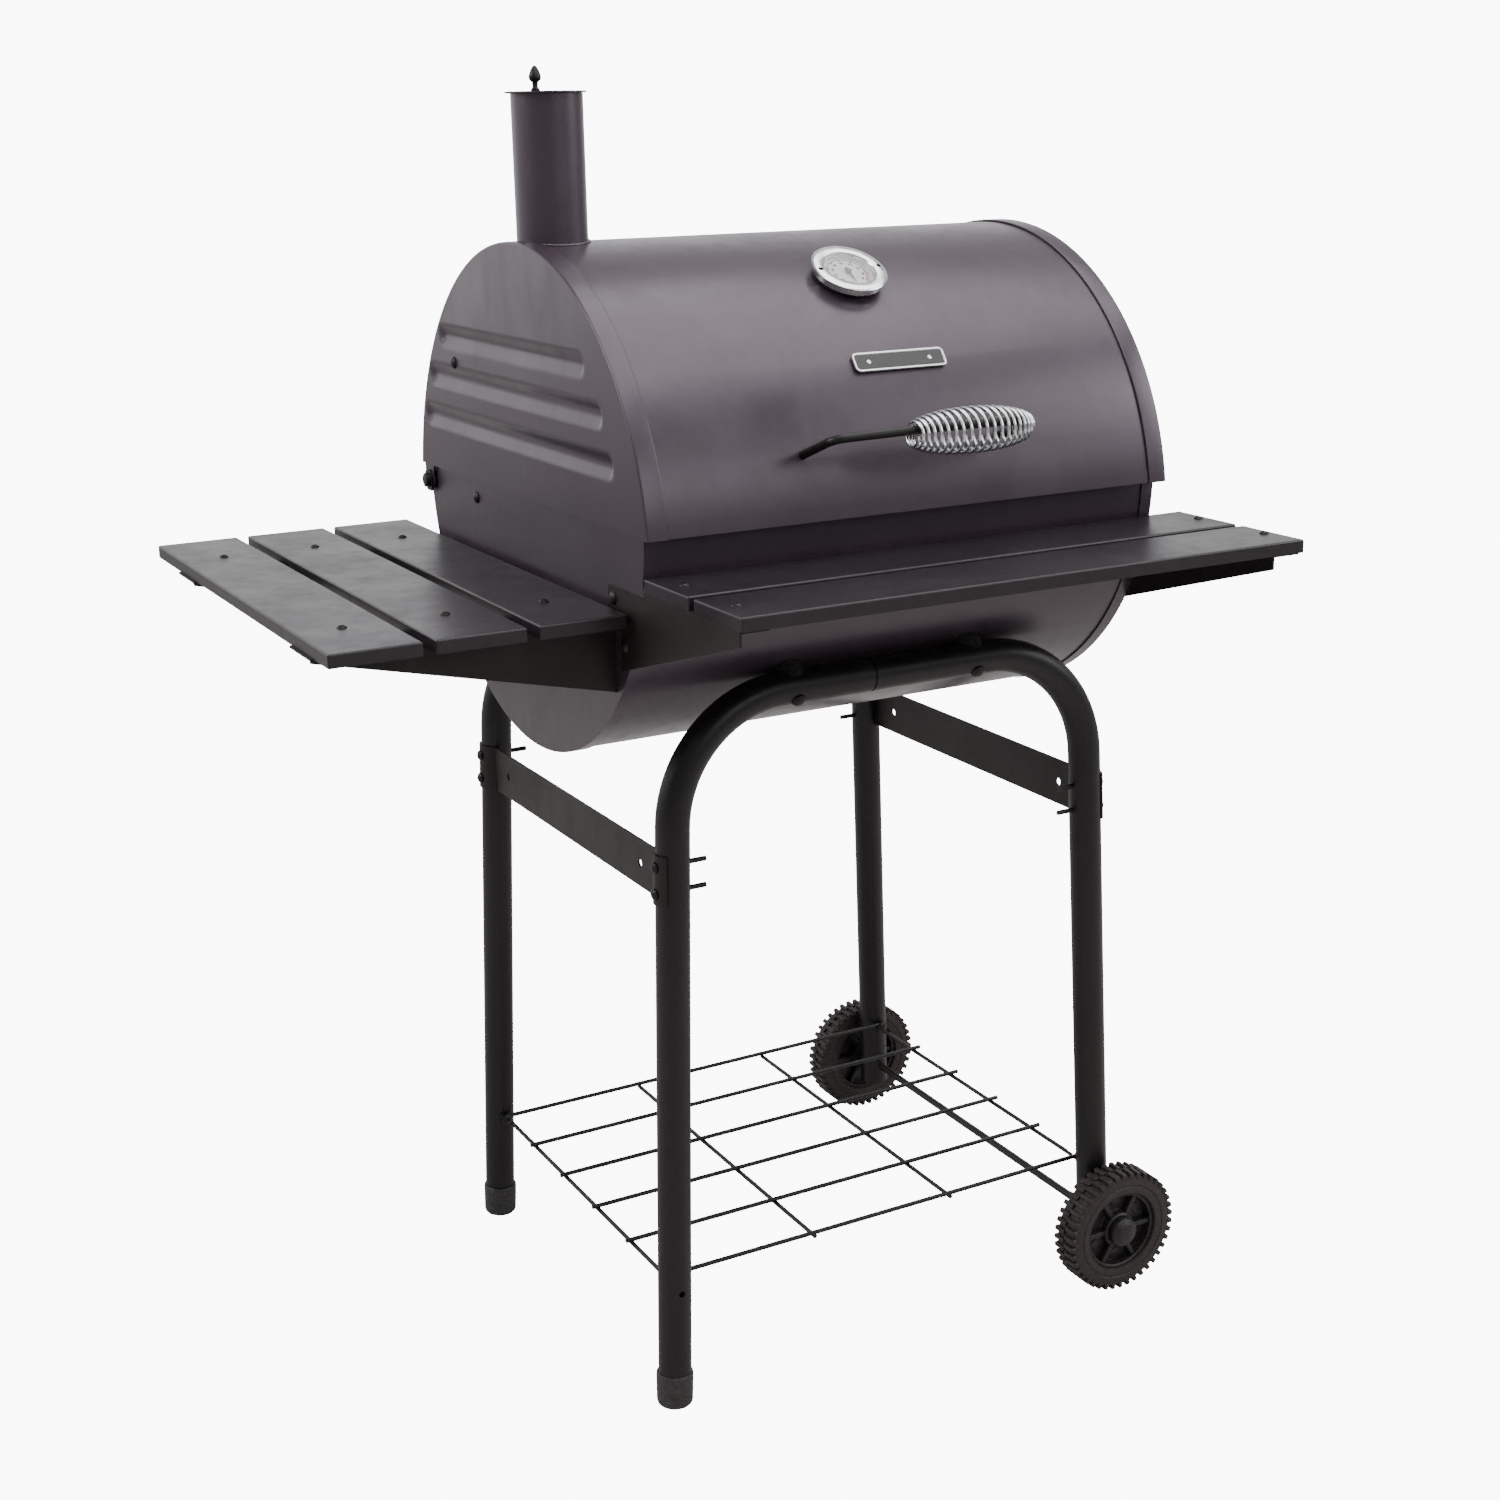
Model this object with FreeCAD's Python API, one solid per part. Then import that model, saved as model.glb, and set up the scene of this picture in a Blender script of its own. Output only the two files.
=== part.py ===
import FreeCAD, Part
import math
import os

from FreeCAD import Vector

# Barrel charcoal grill on a bent-tube cart.  All sizes are in millimetres.
# Working frame: x runs along the barrel to the right, y to the back, z up from the floor.
# x = 0 is the middle of the barrel and y = 0 its axis.  Each node is moved to the object's
# own origin, the middle of its footprint on the floor, when it is written.

# ------------------------------------------------------------------ driving dimensions
SHEET = 1.2                      # steel sheet of the barrel and the lid
PLATE = 2.0                      # folded brackets and braces
CLEAR = 0.05                     # running fit of pins and shafts, on the radius
GAP = 0.3                        # air between parts that move past each other

FIREBOX_AXIS_Z = 861.0
FIREBOX_RADIUS = 249.8
FIREBOX_RIM_Z = 870.0
FIREBOX_END_X = 269.2            # outer face of the firebox's end plates
FIREBOX_FLANGE_WIDTH = 13.0
FIREBOX_FLANGE_THICK = 1.5

LID_AXIS_Z = 815.5
LID_RADIUS = 266.4
LID_EDGE_Z = 851.0
LID_END_X = 273.1                # outer face of the lid's end plates
LID_FLANGE_WIDTH = 20.0
LID_FLANGE_THICK = 2.0
LID_LIP = 8.0
RIB_DEPTH = 3.5
RIB_SLOPE = 4.5
RIBS = (                         # low y, high y, low z, high z of each pressed rib
    (-152.0, 195.0, 975.0, 998.0),
    (-186.0, 226.0, 934.5, 958.5),
    (-205.0, 244.0, 893.0, 917.0),
)

HINGE_Y = 245.0
HINGE_Z = 835.0
HINGE_PIN_RADIUS = 4.0
HINGE_EAR_RADIUS = 12.0
RACK_LINK_Y = 88.0               # lid hinge to lid pivot, and the leg of the rack, are parallel
RACK_LINK_Z = 127.0
RACK_LEG_Y = 125.0
RACK_LEG_Z = 833.0
RACK_PIN_RADIUS = 3.0

STACK_X = -231.0
STACK_RADIUS = 32.6
STACK_TOP_Z = 1212.0
DAMPER_RADIUS = 36.7
DAMPER_PIVOT_X = -233.0
DAMPER_PIVOT_Y = 20.0

THERMOMETER_X = 0.0
THERMOMETER_TILT = 30.5          # degrees forward of straight up
BEZEL_RADIUS = 36.0
PLATE_X = 7.0                    # name plate
PLATE_TILT = 52.8
PLATE_LENGTH = 96.0
PLATE_HEIGHT = 19.0
HANDLE_TILT = 69.7
HANDLE_LEFT_X = -114.0
HANDLE_RIGHT_X = 92.0
HANDLE_REACH = 57.0
HANDLE_BOW = 7.0
HANDLE_FLAT = 40.0               # half the straight middle stretch of the bar
HANDLE_ROD_RADIUS = 3.9
GRIP_START_X = -42.0
GRIP_END_X = 84.0
GRIP_WIRE = 3.0
GRIP_END_RADIUS = 11.2
GRIP_MIDDLE_RADIUS = 21.0
GRIP_DROP = 3.9                  # the loose coil hangs on the rod

TUBE_RADIUS = 16.0
TUBE_WALL = 1.2
TUBE_BEND = 118.0
LEG_TOP_X = 225.0
LEG_TOP_Y = 205.5
LEG_TOP_Z = 690.0
SPLAY_X = 0.037                  # outward per millimetre of drop
SPLAY_Y = 0.022
TUBE_JOINT_X = -22.0
TUBE_JOINT_GAP = 1.8
SPIGOT_LENGTH = 38.0
WHEEL_LEG_END_Z = 45.0
FOOT_HEIGHT = 36.0
SADDLE_XS = (-102.5, 93.5)
SADDLE_LENGTH = 29.0             # along the tube
SADDLE_RADIUS = 17.4

BRACE_Z = 530.5
BRACE_HEIGHT = 47.0
BRACE_X = 237.5
BRACE_BOLT_SPREAD = 12.5
BRACE_BOLT_RADIUS = 2.4
BRACE_BOLT_LENGTH = 52.0         # threads into the far wall of the leg
BRACE_HOLE_Y = 157.0
BRACE_HOLE_RADIUS = 4.0

LOWER_RACK_Z = 123.0
LOWER_RACK_WIRE = 2.25
RACK_BOLT_RADIUS = 3.0
RACK_EYE_RADIUS = 6.4
RACK_EYE_DEPTH = 5.4             # from the leg's skin to the bolt's seat
LOWER_RACK_PITCH = 79.6
LOWER_RACK_YS = [LOWER_RACK_PITCH * (row - 2.5) for row in range(6)]
LOWER_RACK_XS = (-243.0, -80.5, 80.5, 243.0)

AXLE_X = 250.0
AXLE_Z = 66.0
AXLE_RADIUS = 4.0
AXLE_HALF = 273.0
WHEEL_RADIUS = 66.0
WHEEL_INNER_Y = 238.0
WHEEL_WIDTH = 32.0
WHEEL_SPOKES = 6

SLAT_THICK = 12.0
FRONT_SLAT_TOP = 817.5
FRONT_SLATS = ((-252.0, -334.0), (-343.0, -425.0))
FRONT_LEFT_X = -271.0
FRONT_RIGHT_X = 302.0
SIDE_SLAT_TOP = 783.5
SIDE_SLATS = ((-541.0, -460.0), (-449.0, -368.0), (-357.0, -276.0))
SIDE_FRONT_Y = -229.0
SIDE_BACK_Y = 316.0
SIDE_BRACKET_YS = (-188.0, 173.0)
SIDE_BRACKET_SCREW = 45.0        # from the bracket's plate to the slats' screws
SIDE_BRACKET_BOLT = 20.0
SIDE_BRACKET_BOLT_ZS = (722.0, 752.0)
SIDE_BRACKET_FOOT = 704.5
SIDE_BRACKET_TIP_X = -543.0
FRONT_SCREW_XS = (-253.5, 291.0)
FRONT_BRACKET_BOLTS = ((-191.0, 790.0), (-212.0, 752.0))
SCREW_RADIUS = 2.5               # M5 screws of the shelves
BOLT_RADIUS = 3.0                # M6 bolts

GRATE_Z = 838.0                  # top of the ledges that the cooking grates lie on
FIRE_GRATE_Z = 735.0
VENT_Z = 745.0
VENT_RADIUS = 50.0
VENT_HOLE_RADIUS = 12.0
VENT_HOLE_RING = 31.0

CENTRE_X = (SIDE_BRACKET_TIP_X + AXLE_X + WHEEL_RADIUS) / 2
CENTRE_Y = (FRONT_SLATS[1][1] + SIDE_BACK_Y) / 2

ALONG_X = Vector(1, 0, 0)
ALONG_Y = Vector(0, 1, 0)
ALONG_Z = Vector(0, 0, 1)
SIDES = (-1, 1)
nodes = {}


# ------------------------------------------------------------------ shape helpers
def box(x0, x1, y0, y1, z0, z1):
    corner = Vector(min(x0, x1), min(y0, y1), min(z0, z1))
    return Part.makeBox(abs(x1 - x0), abs(y1 - y0), abs(z1 - z0), corner)


def rod(start, end, radius):
    span = end - start
    return Part.makeCylinder(radius, span.Length, start, span)


def tube(start, end, outer, inner):
    over = (end - start).normalize()
    return rod(start, end, outer).cut(rod(start - over, end + over, inner))


def x_rod(x0, x1, y, z, radius):
    return rod(Vector(x0, y, z), Vector(x1, y, z), radius)


def fused(shapes):
    return shapes[0].multiFuse(shapes[1:]).removeSplitter()


def drilled(shape, holes):
    for hole in holes:
        shape = shape.cut(hole)
    return shape


def plate_x(points, x0, x1):
    corners = [Vector(x0, y, z) for y, z in points]
    return Part.Face(Part.makePolygon(corners + corners[:1])).extrude(Vector(x1 - x0, 0, 0))


def plate_y(points, y0, y1):
    corners = [Vector(x, y0, z) for x, z in points]
    return Part.Face(Part.makePolygon(corners + corners[:1])).extrude(Vector(0, y1 - y0, 0))


def rounded_path(points, radii):
    """Straight runs joined by tangent arcs, one radius for each inner corner."""
    edges = []
    start = points[0]
    for corner, after, radius in zip(points[1:-1], points[2:], radii):
        back = (start - corner).normalize()
        ahead = (after - corner).normalize()
        half = back.getAngle(ahead) / 2
        setback = radius / math.tan(half)
        arc_start = corner + back * setback
        arc_end = corner + ahead * setback
        inward = (back + ahead).normalize()
        arc_middle = corner + inward * (radius / math.sin(half) - radius)
        edges.append(Part.LineSegment(start, arc_start).toShape())
        edges.append(Part.Arc(arc_start, arc_middle, arc_end).toShape())
        start = arc_end
    edges.append(Part.LineSegment(start, points[-1]).toShape())
    return Part.Wire(edges)


def bent_rod(points, radii, radius):
    path = rounded_path(points, radii)
    ring = Part.Wire(Part.makeCircle(radius, points[0], points[1] - points[0]))
    return path.makePipeShell([ring], True, False)


def hex_nut(start, direction, radius, height):
    return polygon_prism(start, direction, radius, height, 6)


def polygon_prism(start, direction, radius, height, count):
    axis = Vector(direction).normalize()
    side = axis.cross(ALONG_Z)
    if side.Length < 0.5:
        side = Vector(ALONG_X)
    side.normalize()
    other = axis.cross(side)
    corners = []
    for step in range(count):
        turn = 2 * math.pi * step / count
        corners.append(start + side * (radius * math.cos(turn)) + other * (radius * math.sin(turn)))
    return Part.Face(Part.makePolygon(corners + corners[:1])).extrude(axis * height)


def bolt(head_face, direction, shank, length, head, head_height, nut_at=None, nut_height=4.0):
    """A round-headed bolt: head_face is where the head bears, direction is into the work."""
    axis = Vector(direction).normalize()
    crown = Vector(0, 0, -head_height)
    shoulder = Vector(head * 0.7, 0, -head_height * 0.72)
    rim = Vector(head, 0, -head_height * 0.15)
    outline = [Part.Arc(crown, shoulder, rim).toShape()]
    corners = [rim, Vector(head, 0, 0), Vector(shank, 0, 0), Vector(shank, 0, length),
               Vector(0, 0, length), crown]
    outline += [Part.LineSegment(a, b).toShape() for a, b in zip(corners, corners[1:])]
    turned = Part.Face(Part.Wire(outline)).revolve(Vector(0, 0, 0), ALONG_Z, 360)
    turned.Placement = FreeCAD.Placement(head_face, FreeCAD.Rotation(ALONG_Z, axis))
    if nut_at is None:
        return turned
    nut = hex_nut(head_face + axis * nut_at, axis, shank * 1.75, nut_height)
    return fused([turned, nut])


def on_lid(tilt, x, out, side=0.0):
    """A point out from the lid's skin at a tilt forward of straight up, shifted down the skin."""
    turn = math.radians(tilt)
    normal = Vector(0, -math.sin(turn), math.cos(turn))
    downhill = Vector(0, -math.cos(turn), -math.sin(turn))
    return Vector(x, 0, LID_AXIS_Z) + normal * (LID_RADIUS + out) + downhill * side


def lid_normal(tilt):
    turn = math.radians(tilt)
    return Vector(0, -math.sin(turn), math.cos(turn))


def group(solids):
    return Part.makeCompound(solids)


def leg_point(side_x, side_y, z):
    drop = LEG_TOP_Z - z
    return Vector(side_x * (LEG_TOP_X + SPLAY_X * drop), side_y * (LEG_TOP_Y + SPLAY_Y * drop), z)


# ------------------------------------------------------------------ firebox
def firebox_outline(radius, x0, x1, rim=FIREBOX_RIM_Z):
    """Half a disc with short straight sides up to the rim."""
    disc = Part.makeCylinder(radius, abs(x1 - x0), Vector(min(x0, x1), 0, FIREBOX_AXIS_Z), ALONG_X)
    lower = disc.common(box(x0, x1, -radius, radius, FIREBOX_AXIS_Z - radius, FIREBOX_AXIS_Z))
    return lower.fuse(box(x0, x1, -radius, radius, FIREBOX_AXIS_Z, rim)).removeSplitter()


def saddle_frame(x, side_y):
    """Centre of a leg's top run and the direction from there to the barrel's axis."""
    centre = Vector(x, side_y * LEG_TOP_Y, LEG_TOP_Z)
    return centre, (Vector(x, 0, FIREBOX_AXIS_Z) - centre).normalize()


def saddle_bolts():
    bolts = []
    for x in SADDLE_XS:
        for side_y in SIDES:
            centre, inwards = saddle_frame(x, side_y)
            through = 2 * TUBE_RADIUS + 4.0
            bolts.append(bolt(centre - inwards * TUBE_RADIUS, inwards, BOLT_RADIUS, through + 12.0,
                              7.0, 4.4, nut_at=through))
    return bolts


def build_firebox():
    inside = FIREBOX_END_X - SHEET
    skin = firebox_outline(FIREBOX_RADIUS, -inside, inside)
    hollow = firebox_outline(FIREBOX_RADIUS - SHEET, -inside - 1, inside + 1, FIREBOX_RIM_Z + 1)
    bolt_holes = [saddle_hole(x, side_y) for x in SADDLE_XS for side_y in SIDES]
    nodes["firebox_shell"] = drilled(skin.cut(hollow), bolt_holes)
    nodes["firebox_end_left"] = firebox_end(-1)
    nodes["firebox_end_right"] = firebox_end(1)


def saddle_hole(x, side_y):
    centre, inwards = saddle_frame(x, side_y)
    return rod(centre - inwards * 30, centre + inwards * 30, BOLT_RADIUS + CLEAR)


def firebox_end(side):
    outer = side * FIREBOX_END_X
    plate = firebox_outline(FIREBOX_RADIUS + FIREBOX_FLANGE_THICK, outer - side * SHEET, outer)
    reach = outer - side * FIREBOX_FLANGE_WIDTH
    band = firebox_outline(FIREBOX_RADIUS + FIREBOX_FLANGE_THICK, reach, outer - side * SHEET)
    core = firebox_outline(FIREBOX_RADIUS + CLEAR, reach - side, outer - side * SHEET, FIREBOX_RIM_Z + 1)
    ear = x_rod(outer - side * SHEET, outer, HINGE_Y, HINGE_Z, HINGE_EAR_RADIUS)
    end = fused([plate, band.cut(core), ear])
    spots = [(HINGE_Y, HINGE_Z, HINGE_PIN_RADIUS), (RACK_LEG_Y, RACK_LEG_Z, RACK_PIN_RADIUS)]
    spots += [(y, z, BOLT_RADIUS) for y, z in FRONT_BRACKET_BOLTS]
    if side < 0:
        spots += [(y, z, BOLT_RADIUS) for y, z in side_bracket_bolts()]
    else:
        spots.append((0.0, VENT_Z, BOLT_RADIUS))
        spots += [(y, z, VENT_HOLE_RADIUS - CLEAR) for y, z in vent_hole_centres(45.0)]
    reach_in = outer - side * 20
    return drilled(end, [x_rod(reach_in, outer + side, y, z, r + CLEAR) for y, z, r in spots])


# ------------------------------------------------------------------ air vent in the right end
def vent_hole_centres(first):
    turns = [math.radians(first + 90 * step) for step in range(4)]
    return [(VENT_HOLE_RING * math.cos(a), VENT_Z + VENT_HOLE_RING * math.sin(a)) for a in turns]


def build_air_vent():
    near = FIREBOX_END_X + GAP
    far = near + SHEET
    disc = x_rod(near, far, 0, VENT_Z, VENT_RADIUS)
    holes = [x_rod(near - 1, far + 1, y, z, VENT_HOLE_RADIUS) for y, z in vent_hole_centres(0.0)]
    holes.append(x_rod(near - 1, far + 1, 0, VENT_Z, BOLT_RADIUS + CLEAR))
    low = VENT_RADIUS - 3
    tab = box(near, far + 14, -7, 7, VENT_Z + low, VENT_Z + low + 1.6)
    tab.rotate(Vector(0, 0, VENT_Z), ALONG_X, 45)
    nodes["air_damper_disc"] = fused([drilled(disc, holes), tab])
    head = Vector(far + GAP + SHEET, 0, VENT_Z)
    washer = rod(Vector(far + GAP, 0, VENT_Z), head, 9.0)
    rivet = bolt(head, Vector(-1, 0, 0), BOLT_RADIUS, 12.0, 6.5, 2.5, nut_at=7.0)
    nodes["air_damper_rivet"] = fused([rivet, washer])


# ------------------------------------------------------------------ lid
def above_edge(shape):
    return shape.cut(box(-400, 400, -400, 400, 0, LID_EDGE_Z))


def lid_cylinder(radius, x0, x1):
    return Part.makeCylinder(radius, abs(x1 - x0), Vector(min(x0, x1), 0, LID_AXIS_Z), ALONG_X)


def stack_core(radius):
    return rod(Vector(STACK_X, 0, LID_AXIS_Z + 200), Vector(STACK_X, 0, STACK_TOP_Z), radius)


def build_lid():
    inside = LID_END_X - SHEET
    skin = lid_cylinder(LID_RADIUS, -inside, inside)
    skin = above_edge(skin.cut(lid_cylinder(LID_RADIUS - SHEET, -inside - 1, inside + 1)))
    edge_y = math.sqrt(LID_RADIUS ** 2 - (LID_EDGE_Z - LID_AXIS_Z) ** 2)
    lips = []
    for side_y in SIDES:
        outer_y = side_y * (edge_y - SHEET / 2)
        inner_y = side_y * (edge_y - LID_LIP)
        lips.append(box(-inside, inside, outer_y, inner_y, LID_EDGE_Z, LID_EDGE_Z + SHEET))
    holes = [stack_core(STACK_RADIUS + CLEAR)]
    for x in (HANDLE_LEFT_X, HANDLE_RIGHT_X):
        holes.append(rod(on_lid(HANDLE_TILT, x, -8), on_lid(HANDLE_TILT, x, 8), HANDLE_ROD_RADIUS + CLEAR))
    holes.append(rod(on_lid(THERMOMETER_TILT, THERMOMETER_X, -8),
                     on_lid(THERMOMETER_TILT, THERMOMETER_X, 8), 5.0 + CLEAR))
    for x in name_plate_studs():
        holes.append(rod(on_lid(PLATE_TILT, x, -8), on_lid(PLATE_TILT, x, 8), 1.5 + CLEAR))
    nodes["lid_shell"] = drilled(fused([skin] + lips), holes)
    nodes["lid_end_left"] = lid_end(-1)
    nodes["lid_end_right"] = lid_end(1)


def rounded_rectangle(x, y0, y1, z0, z1, radius):
    face = Part.Face(Part.makePolygon([Vector(x, y0, z0), Vector(x, y1, z0), Vector(x, y1, z1),
                                       Vector(x, y0, z1), Vector(x, y0, z0)]))
    solid = face.extrude(Vector(1, 0, 0))
    corners = [e for e in solid.Edges if abs(e.Vertexes[0].X - e.Vertexes[1].X) > 0.5]
    solid = solid.makeFillet(radius, corners)
    flat = [f for f in solid.Faces if abs(f.CenterOfMass.x - x) < 1e-6]
    return flat[0].OuterWire


def pressed_rib(side, y0, y1, z0, z1, grow, depth, sink=0.0):
    """The tapered hollow of one rib, measured inwards from the plate's outer face."""
    face_x = side * (LID_END_X - sink)
    floor_x = side * (LID_END_X - depth)
    mouth = rounded_rectangle(face_x, y0 - grow, y1 + grow, z0 - grow, z1 + grow, 5.5)
    inset = RIB_SLOPE - grow
    floor = rounded_rectangle(floor_x, y0 + inset, y1 - inset, z0 + inset, z1 - inset, 4.0)
    return Part.makeLoft([mouth, floor], True, True)


def lid_end(side):
    outer = side * LID_END_X
    inner = outer - side * SHEET
    rim = LID_RADIUS + LID_FLANGE_THICK
    plate = above_edge(lid_cylinder(rim, inner, outer))
    band = lid_cylinder(rim, outer - side * LID_FLANGE_WIDTH, inner)
    covered = lid_cylinder(LID_RADIUS + CLEAR, outer - side * (LID_FLANGE_WIDTH + 1), inner)
    band = above_edge(band.cut(covered))
    ear = x_rod(inner, outer, HINGE_Y, HINGE_Z, HINGE_EAR_RADIUS)
    neck = box(inner, outer, HINGE_Y - HINGE_EAR_RADIUS, HINGE_Y + HINGE_EAR_RADIUS,
               HINGE_Z, LID_EDGE_Z + 2)
    whole = fused([plate, band, ear, neck])
    for y0, y1, z0, z1 in RIBS:
        pan = pressed_rib(side, y0, y1, z0, z1, SHEET, RIB_DEPTH + SHEET, sink=SHEET / 2)
        whole = whole.fuse(pan).cut(pressed_rib(side, y0, y1, z0, z1, 0.0, RIB_DEPTH))
    holes = [x_rod(inner - side, outer + side, HINGE_Y, HINGE_Z, HINGE_PIN_RADIUS + CLEAR)]
    holes.append(x_rod(inner - side, outer + side, HINGE_Y - RACK_LINK_Y, HINGE_Z + RACK_LINK_Z,
                       RACK_PIN_RADIUS + CLEAR))
    holes.append(stack_core(STACK_RADIUS + CLEAR))
    return drilled(whole, holes).removeSplitter()


def build_hinge_pins():
    """Shouldered rivets: fast in the firebox's ears, with the lid's ears turning on them."""
    pins = []
    for side in SIDES:
        outline = ((FIREBOX_END_X - SHEET, HINGE_PIN_RADIUS), (FIREBOX_END_X, HINGE_PIN_RADIUS),
                   (FIREBOX_END_X, 9.0), (LID_END_X - SHEET - GAP, 9.0),
                   (LID_END_X - SHEET - GAP, HINGE_PIN_RADIUS), (LID_END_X + GAP, HINGE_PIN_RADIUS),
                   (LID_END_X + GAP, 11.0), (LID_END_X + 1.9, 11.0), (LID_END_X + 1.9, 7.5),
                   (LID_END_X + 5.6, 7.0), (LID_END_X + 6.6, 5.0))
        corners = [Vector(side * x, HINGE_Y, HINGE_Z + r) for x, r in outline]
        first = Vector(corners[0].x, HINGE_Y, HINGE_Z)
        last = Vector(corners[-1].x, HINGE_Y, HINGE_Z)
        face = Part.Face(Part.makePolygon([first] + corners + [last, first]))
        pins.append(face.revolve(first, ALONG_X, 360))
    nodes["hinge_rivets"] = group(pins)


def name_plate_studs():
    return (PLATE_X - PLATE_LENGTH / 3, PLATE_X + PLATE_LENGTH / 3)


def build_name_plate():
    """A plain blank plate on two studs, a little off the lid's skin."""
    stand = 1.5
    thick = 2.5
    half = PLATE_LENGTH / 2
    rise = PLATE_HEIGHT / 2
    corners = [on_lid(PLATE_TILT, PLATE_X + x, stand, s) for x, s in
               ((-half, -rise), (half, -rise), (half, rise), (-half, rise))]
    face = Part.Face(Part.makePolygon(corners + corners[:1]))
    out = lid_normal(PLATE_TILT) * thick
    body = face.extrude(out)
    upright = [e for e in body.Edges if abs(e.Length - thick) < 1e-3]
    body = body.makeFillet(5.0, upright)
    studs = [rod(on_lid(PLATE_TILT, x, -5), on_lid(PLATE_TILT, x, stand), 1.5) for x in name_plate_studs()]
    nodes["name_plate"] = fused([body] + studs)


# ------------------------------------------------------------------ smokestack
def build_stack():
    foot = LID_AXIS_Z + LID_RADIUS - 26
    pipe = tube(Vector(STACK_X, 0, foot), Vector(STACK_X, 0, STACK_TOP_Z),
                STACK_RADIUS, STACK_RADIUS - SHEET)
    pipe = pipe.cut(lid_cylinder(LID_RADIUS - SHEET - 5, STACK_X - 50, STACK_X + 50))
    tab_z = STACK_TOP_Z - 14
    tab = box(DAMPER_PIVOT_X - 7, DAMPER_PIVOT_X + 7, DAMPER_PIVOT_Y - 8, STACK_RADIUS, tab_z, tab_z + 1.6)
    tab = tab.common(stack_core(STACK_RADIUS - SHEET / 2))
    tab = tab.cut(rod(Vector(DAMPER_PIVOT_X, DAMPER_PIVOT_Y, tab_z - 5),
                      Vector(DAMPER_PIVOT_X, DAMPER_PIVOT_Y, tab_z + 5), 2.5 + CLEAR))
    nodes["smokestack"] = fused([pipe, tab])
    low = STACK_TOP_Z + GAP
    high = low + 1.5
    disc = rod(Vector(STACK_X - 1, 0, low), Vector(STACK_X - 1, 0, high), DAMPER_RADIUS)
    pivot = Vector(DAMPER_PIVOT_X, DAMPER_PIVOT_Y, 0)
    pivot_hole = rod(pivot + ALONG_Z * (low - 1), pivot + ALONG_Z * (high + 1), 2.5)
    nodes["stack_damper_disc"] = disc.cut(pivot_hole)
    profile = ((0.0, tab_z - 6), (4.5, tab_z - 6), (4.5, tab_z - GAP), (2.5, tab_z - GAP), (2.5, high),
               (4.2, high), (4.2, high + 1.6), (2.7, high + 3.4), (2.7, high + 7.5), (4.0, high + 9.0),
               (5.8, high + 12.2), (5.8, high + 14.4), (4.6, high + 18.6), (2.6, high + 21.6),
               (0.0, high + 22.8))
    corners = [Vector(r, 0, z) for r, z in profile]
    turned = Part.Face(Part.makePolygon(corners + corners[:1])).revolve(Vector(0, 0, 0), ALONG_Z, 360)
    turned.translate(pivot)
    nodes["stack_damper_knob"] = turned


# ------------------------------------------------------------------ handle
def grip_axis():
    left = on_lid(HANDLE_TILT, GRIP_START_X, handle_out(GRIP_START_X)) - ALONG_Z * GRIP_DROP
    right = on_lid(HANDLE_TILT, GRIP_END_X, handle_out(GRIP_END_X)) - ALONG_Z * GRIP_DROP
    return left, right


def handle_out(x):
    root = HANDLE_LEFT_X if x < 0 else HANDLE_RIGHT_X
    share = min(1.0, (abs(root) - abs(x)) / (abs(root) - HANDLE_FLAT))
    return HANDLE_REACH + HANDLE_BOW * share


def build_handle():
    xs = (HANDLE_LEFT_X, -HANDLE_FLAT, HANDLE_FLAT, HANDLE_RIGHT_X)
    points = [on_lid(HANDLE_TILT, x, handle_out(x)) for x in xs]
    points = [on_lid(HANDLE_TILT, xs[0], -14.0)] + points + [on_lid(HANDLE_TILT, xs[-1], -14.0)]
    nodes["handle_rod"] = bent_rod(points, (13.0, 160.0, 160.0, 13.0), HANDLE_ROD_RADIUS)
    nuts = []
    for x in (HANDLE_LEFT_X, HANDLE_RIGHT_X):
        inner = on_lid(HANDLE_TILT, x, -SHEET - 0.6)
        nut = hex_nut(inner, lid_normal(HANDLE_TILT) * -1, 7.5, 6.0)
        nuts.append(nut.cut(rod(inner + lid_normal(HANDLE_TILT) * 2,
                                inner - lid_normal(HANDLE_TILT) * 12, HANDLE_ROD_RADIUS)))
    nodes["lid_nuts"] = group(nuts + [thermometer_nut()])
    left, right = grip_axis()
    length = (right - left).Length
    half = length / 2
    inner_end = GRIP_END_RADIUS - GRIP_WIRE
    inner_mid = GRIP_MIDDLE_RADIUS - GRIP_WIRE
    outside = Part.Arc(Vector(-half, GRIP_END_RADIUS, 0), Vector(0, GRIP_MIDDLE_RADIUS, 0),
                       Vector(half, GRIP_END_RADIUS, 0)).toShape()
    inside = Part.Arc(Vector(half, inner_end, 0), Vector(0, inner_mid, 0),
                      Vector(-half, inner_end, 0)).toShape()
    far = Part.LineSegment(Vector(half, GRIP_END_RADIUS, 0), Vector(half, inner_end, 0)).toShape()
    near = Part.LineSegment(Vector(-half, inner_end, 0), Vector(-half, GRIP_END_RADIUS, 0)).toShape()
    section = Part.Face(Part.Wire([outside, far, inside, near]))
    coil = section.revolve(Vector(0, 0, 0), ALONG_X, 360)
    coil.Placement = FreeCAD.Placement((left + right) * 0.5, FreeCAD.Rotation(ALONG_X, right - left))
    nodes["spring_grip"] = coil


# ------------------------------------------------------------------ thermometer
def dial_rod(out0, out1, radius):
    low = on_lid(THERMOMETER_TILT, THERMOMETER_X, out0)
    high = on_lid(THERMOMETER_TILT, THERMOMETER_X, out1)
    return rod(low, high, radius)


def thermometer_nut():
    inner = on_lid(THERMOMETER_TILT, THERMOMETER_X, -SHEET - 0.8)
    return hex_nut(inner, lid_normal(THERMOMETER_TILT) * -1, 10.0, 5.0).cut(dial_rod(-12.0, 2.0, 5.0))


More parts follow.
